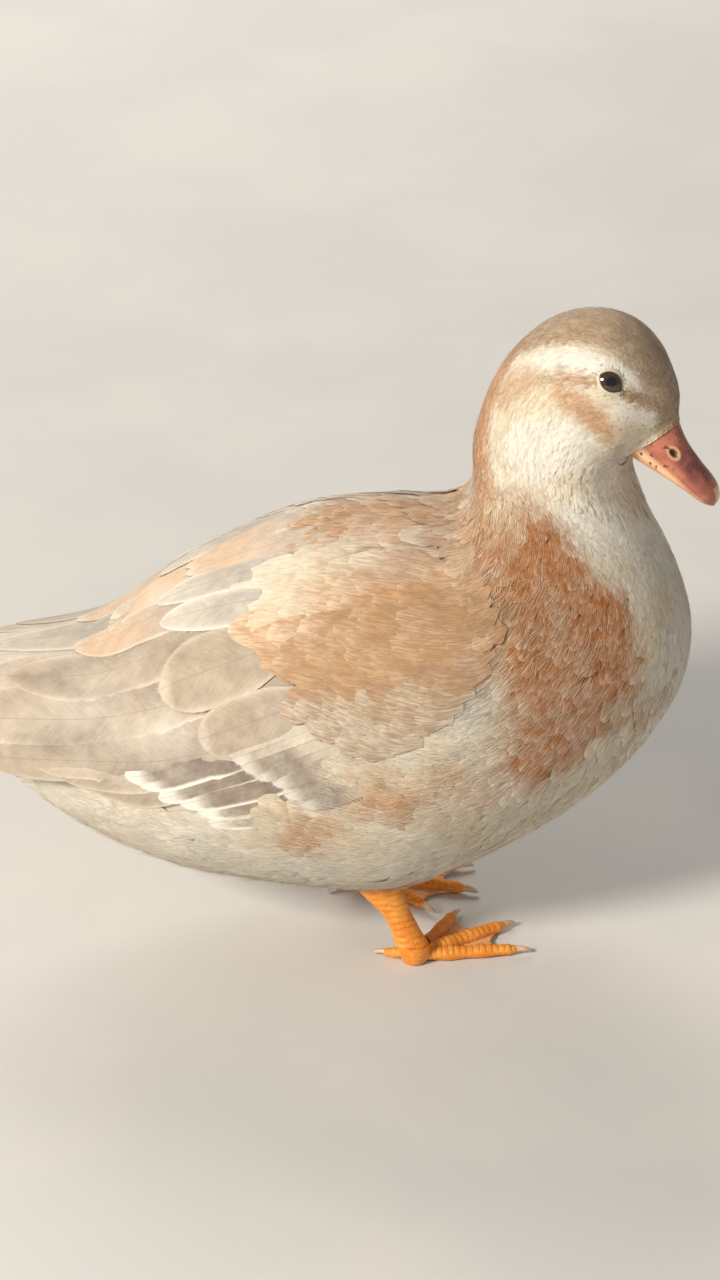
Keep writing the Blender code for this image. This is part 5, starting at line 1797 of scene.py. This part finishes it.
legs = {
    "shank": [
        (-12, 27.5, 44, 9.0, 6.5),
        (-6.5, 28.6, 33, 8.5, 6.0),
        (-2, 29.4, 26, 7.2, 5.2),
        (2.5, 30.1, 19, 5.2, 4.2),
        (6, 30.6, 12, 5.0, 4.0),
        (8.5, 31, 6.0, 6.0, 4.8),
    ],
    "ankle": (9.5, 31),
    "leftBack": 18.0,
    "leftIn": 5.5,
    "turn": {-1: 34, 1: -16},
    "toes": [("inner", 30, 31, 2.5), ("middle", 0, 37, 2.9), ("outer", -27, 35, 2.6)],
    "toeShape": [(0, 1.15), (0.2, 1.05), (0.45, 1.0), (0.7, 0.92), (0.92, 0.82), (1.0, 0.5)],
    "hind": (129, 11.3, 2.0),
    "hindShape": [(0.08, 4.4, 1.0), (0.42, 2.6, 1.0), (0.75, 1.6, 0.9), (1.0, 1.4, 0.6)],
    "bulb": [(-0.5, 3.4), (0.8, 4.4), (3, 5.2), (5.2, 5.6), (7.5, 5.6)],
    "platePitch": 4.0,
}


def footFrame(side):
    back, inward = (legs["leftBack"], legs["leftIn"]) if side == 1 else (0.0, 0.0)
    return np.array([legs["ankle"][0] - back, side * (legs["ankle"][1] - inward), 0.0]), legs["turn"][side]


def heading(degrees):
    return np.array([math.cos(math.radians(degrees)), math.sin(math.radians(degrees)), 0.0])


# A closed tube along a line of points, flattened by the floor where it lies on it.
def tubeAlong(line, radii, around, flat=1.0, relief=None):
    line, radii = np.asarray(line, float), np.asarray(radii, float)
    way = unit(np.gradient(line, axis=0))
    aside = unit(np.cross([0, 0, 1], way))
    up = np.cross(way, aside)
    angle = np.linspace(0, 2 * math.pi, around, endpoint=False)
    radius = radii[:, None] * np.ones(around)
    if relief is not None:
        radius = radius + relief
    points = (
        line[:, None]
        + aside[:, None] * (radius * np.cos(angle))[..., None]
        + up[:, None] * (radius * flat * np.sin(angle))[..., None]
    )
    points[..., 2] = np.maximum(points[..., 2], 0.0)
    ends = np.vstack([line[:1], line[-1:]])
    ends[:, 2] = np.maximum(ends[:, 2], 0.2)
    flatPoints = np.vstack([points.reshape(-1, 3), ends])
    ring = np.arange(around)
    last = (len(line) - 1) * around + ring
    triangles = np.vstack(
        [
            gridTriangles(len(line), around, wrap=True),
            np.column_stack([np.roll(ring, -1), ring, np.full(around, len(line) * around)]),
            np.column_stack([last, np.roll(last, -1), np.full(around, len(line) * around + 1)]),
        ]
    )
    return flatPoints, outwardFirst(flatPoints - line.mean(0), triangles)


def joinForms(forms):
    points, triangles, crease = [], [], []
    base = 0
    for formPoints, formTriangles, formCrease in forms:
        points.append(formPoints)
        triangles.append(formTriangles + base)
        crease.append(formCrease)
        base += len(formPoints)
    return np.vstack(points), np.vstack(triangles), np.concatenate(crease)


# Dark seams between the plates on top of a toe: grooves in the form, darkened as painted shade
def plateCrease(count, around, pitch):
    ring = np.abs(((np.arange(count) / pitch) % 1) - 0.5) * 2
    angle = np.linspace(0, 2 * math.pi, around, endpoint=False)
    return smooth(0.72, 0.98, ring)[:, None] * smooth(0.1, 0.6, np.sin(angle))[None, :]


def buildFoot(side, label):
    centre, turn = footFrame(side)
    forms, tips = [], []
    steps, around = 64, 28
    for name, spread, length, radius in legs["toes"]:
        way = heading(turn - side * spread)
        share = np.linspace(0, 1, steps)
        shape = np.array(legs["toeShape"], float)
        size = np.interp(share, shape[:, 0], shape[:, 1]) * radius
        size = size * (1 + 0.07 * np.cos(2 * math.pi * share * 3.0)) * np.where(share > 0.96, 0.92, 1.0)
        height = 3.2 + (2.1 - 3.2) * smooth(0, 1 / 3, share)
        line = centre + way * (length * share)[:, None] + np.array([0, 0, 1.0]) * height[:, None]
        crease = plateCrease(steps, around, legs["platePitch"])
        points, triangles = tubeAlong(line, size, around, 0.9, -0.16 * crease)
        forms.append((points, triangles, np.append(crease.ravel(), [0, 0])))
        tips.append((way, length))
    spread, length, radius = legs["hind"]
    way = heading(turn - side * spread)
    shape = np.array(legs["hindShape"], float)
    share = np.linspace(0.08, 1, 30)
    line = centre + way * (length * share)[:, None]
    line[:, 2] = np.interp(share, shape[:, 0], shape[:, 1])
    crease = plateCrease(30, around, legs["platePitch"])
    points, triangles = tubeAlong(line, np.interp(share, shape[:, 0], shape[:, 2]) * radius, around)
    forms.append((points, triangles, np.append(crease.ravel(), [0, 0])))
    bulb = np.array(legs["bulb"], float)
    height = np.linspace(-0.4, 7.4, 24)
    line = centre + np.array([-0.5, 0, 0]) + np.column_stack([0 * height, 0 * height, height])
    size = np.interp(height, bulb[:, 0], bulb[:, 1])
    ring = np.linspace(0, 2 * math.pi, 40, endpoint=False)
    rings = line[:, None] + np.stack(
        [np.outer(size, np.cos(ring)), np.outer(size, np.sin(ring)), np.zeros((24, 40))], -1
    )
    rings[..., 2] = np.maximum(rings[..., 2], 0.0)
    # Dark rings round the bulb: painted shade of its folds
    folds = 0.5 * smooth(0.6, 0.95, np.abs(np.sin(height * 1.9)))[:, None] * np.ones(40)
    flatRings = rings.reshape(-1, 3)
    closed = outwardFirst(flatRings - centre, gridTriangles(24, 40, wrap=True))
    forms.append((flatRings, closed, folds.ravel()))
    points, triangles, crease = joinForms(forms)
    foot = makePiece(f"foot_{label}Toes", points, triangles, legSkin, {"crease": crease})
    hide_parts(f"foot_{label}")

    forms = []
    root = centre + heading(turn) * 3.0
    for (oneWay, oneLength), (otherWay, otherLength) in zip(tips, tips[1:]):
        across, along = np.meshgrid(np.linspace(0, 1, 27), np.linspace(0, 1, 25), indexing="ij")
        one = centre + oneWay * oneLength * 0.95
        other = centre + otherWay * otherLength * 0.95
        edge = one + (other - one) * across[..., None]
        edge = edge + (root - edge) * (0.16 * np.sin(math.pi * across))[..., None]
        ground = root + (edge - root) * along[..., None]
        folds = 0.22 * np.sin(across * math.pi * 9) * along * np.sin(math.pi * across)
        middle = np.sin(math.pi * across) ** 0.5
        top = ground + np.array([0, 0, 1.0]) * (2.1 - 0.95 * middle * smooth(0, 0.4, along) + folds)[..., None]
        low = ground + np.array([0, 0, 1.0]) * np.maximum(0.3, 0.35 + folds * 0.6)[..., None]
        grid = across.size
        upper = gridTriangles(*across.shape)
        closed = np.vstack([upper, upper[:, ::-1] + grid, rimTriangles(*across.shape, grid)])
        both = np.vstack([top.reshape(-1, 3), low.reshape(-1, 3)])
        # Dark lines along the web's folds: painted shade in them
        seam = smooth(0.6, 0.95, np.abs(np.sin(across * math.pi * 9))) * 0.35 * along
        forms.append((both, outwardFirst(both - both.mean(0), closed), np.tile(seam.ravel(), 2)))
    points, triangles, crease = joinForms(forms)
    makePiece(f"web_{label}", points, triangles, webSkin, {"crease": crease})

    for name, spread, length, radius in [*legs["toes"], ("hind", *legs["hind"])]:
        hind = name == "hind"
        way = heading(turn - side * spread)
        size = 3.6 if hind else 5.0
        share = np.linspace(0, 1, 18)
        line = centre + way * (length - 0.9) + way * ((size + 1.2) * share)[:, None]
        line[:, 2] = (1.6 if hind else 2.1) + 0.5 * np.sin(math.pi * share) - 1.0 * share
        thick = radius * (0.48 if hind else 0.45) * np.sqrt(np.maximum(1 - share**2.2, 0.012))
        points, triangles = tubeAlong(line, thick, 16)
        claw = makePiece(f"claw_{name}_{label}Horn", points, triangles, clawHorn)
        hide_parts(f"claw_{name}_{label}")


def buildShank(side, label):
    centre, _ = footFrame(side)
    rows = splineRows(np.array(legs["shank"], float), np.linspace(0, 5, 90))
    angle = np.linspace(0, 2 * math.pi, 48, endpoint=False)
    x, y, z, front, wide = (rows[:, i : i + 1] for i in range(5))
    pitch = np.abs(((z / 2.1) % 1) - 0.5) * 2
    # The scale seams and the troughs of the wrinkles are darkened through crease as painted shade in these grooves
    seam = smooth(0.7, 0.97, pitch) * smooth(-0.1, 0.5, np.cos(angle))[None, :]
    behind = (1 - smooth(-0.2, 0.4, np.cos(angle)))[None, :]
    wrinkle = 0.18 * np.sin(z * 2.6 + 2.0 * np.sin(angle * 2)[None, :]) * behind
    relief = wrinkle - 0.22 * seam
    points = np.stack(
        [
            x - legs["ankle"][0] + centre[0] + (front + relief) * np.cos(angle),
            centre[1] + side * (y - legs["ankle"][1]) + (wide + relief) * np.sin(angle),
            z + 0 * angle,
        ],
        -1,
    )
    flatPoints = points.reshape(-1, 3)
    triangles = gridTriangles(90, 48, wrap=True)
    shank = makePiece(
        f"shank_{label}Scutes",
        flatPoints,
        outwardFirst(flatPoints - flatPoints.mean(0), triangles),
        legSkin,
        {"crease": (seam + 0.3 * (wrinkle < -0.09)).ravel()},
    )
    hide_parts(f"shank_{label}")


for side, label in ((1, "left"), (-1, "right")):
    buildShank(side, label)
    buildFoot(side, label)

print("feet made, now floor, light and camera")

# Each light: where it stands, what height over the origin it looks at, its size, power and colour
studio = {
    "floor": (0.62, 0.60, 0.57, 1),
    "floorWarm": (0.66, 0.63, 0.59, 1),
    "lights": {
        "key": ((-1.08, -1.08, 0.98), 0.12, 0.4, 36.0, (1.0, 0.95, 0.87)),
        "fill": ((1.3, -1.2, 0.8), 0.1, 1.4, 4.0, (0.9, 0.95, 1.0)),
        "back": ((-0.3, 1.4, 1.1), 0.15, 1.0, 17.0, (1.0, 0.97, 0.92)),
    },
    "world": (0.80, 0.79, 0.78, 1),
    "worldStrength": 0.32,
    "distance": 1.6,
    "elevation": 27,
    "lens": 132.75,
    "aim": (0.01826, 0.0969, -0.063),
}
floorPaint = buildPlain("floorPaint", studio["floor"], studio["floorWarm"], 0.85, 9.0, 0.1)
mesh = bpy.data.meshes.new("floor")
mesh.from_pydata([(-6, -6, 0), (6, -6, 0), (6, 6, 0), (-6, 6, 0)], [], [(0, 1, 2, 3)])
mesh.materials.append(floorPaint)
floor = bpy.data.objects.new("floor", mesh)
bpy.context.scene.collection.objects.link(floor)
floor.location.z = -0.0002


for name, (place, level, size, power, colour) in studio["lights"].items():
    light = bpy.data.lights.new(name, "AREA")
    light.shape = "DISK"
    light.size = size
    light.energy = power
    light.color = colour
    lamp = bpy.data.objects.new(name, light)
    bpy.context.scene.collection.objects.link(lamp)
    lamp.location = place
    lamp.rotation_euler = (Vector((0, 0, level)) - Vector(place)).to_track_quat("-Z", "Y").to_euler()
    lamp.visible_glossy = name == "key"

world = bpy.data.worlds.new("studio")
world.use_nodes = True
world.node_tree.nodes["Background"].inputs["Color"].default_value = studio["world"]
world.node_tree.nodes["Background"].inputs["Strength"].default_value = studio["worldStrength"]
bpy.context.scene.world = world

elevation = math.radians(studio["elevation"])
forward = Vector((0, math.cos(elevation), -math.sin(elevation)))
upward = Vector((0, math.sin(elevation), math.cos(elevation)))
target = Vector((studio["aim"][0], 0, 0)) + upward * studio["aim"][1] + forward * studio["aim"][2]
camera = bpy.data.objects.new("camera", bpy.data.cameras.new("camera"))
bpy.context.scene.collection.objects.link(camera)
camera.data.sensor_fit = "VERTICAL"
camera.data.sensor_height = 36.0
camera.data.lens = studio["lens"]
camera.data.clip_end = 30.0
camera.location = target - forward * studio["distance"]
camera.rotation_euler = forward.to_track_quat("-Z", "Y").to_euler()
bpy.context.scene.camera = camera
bpy.context.scene.view_settings.view_transform = "Standard"
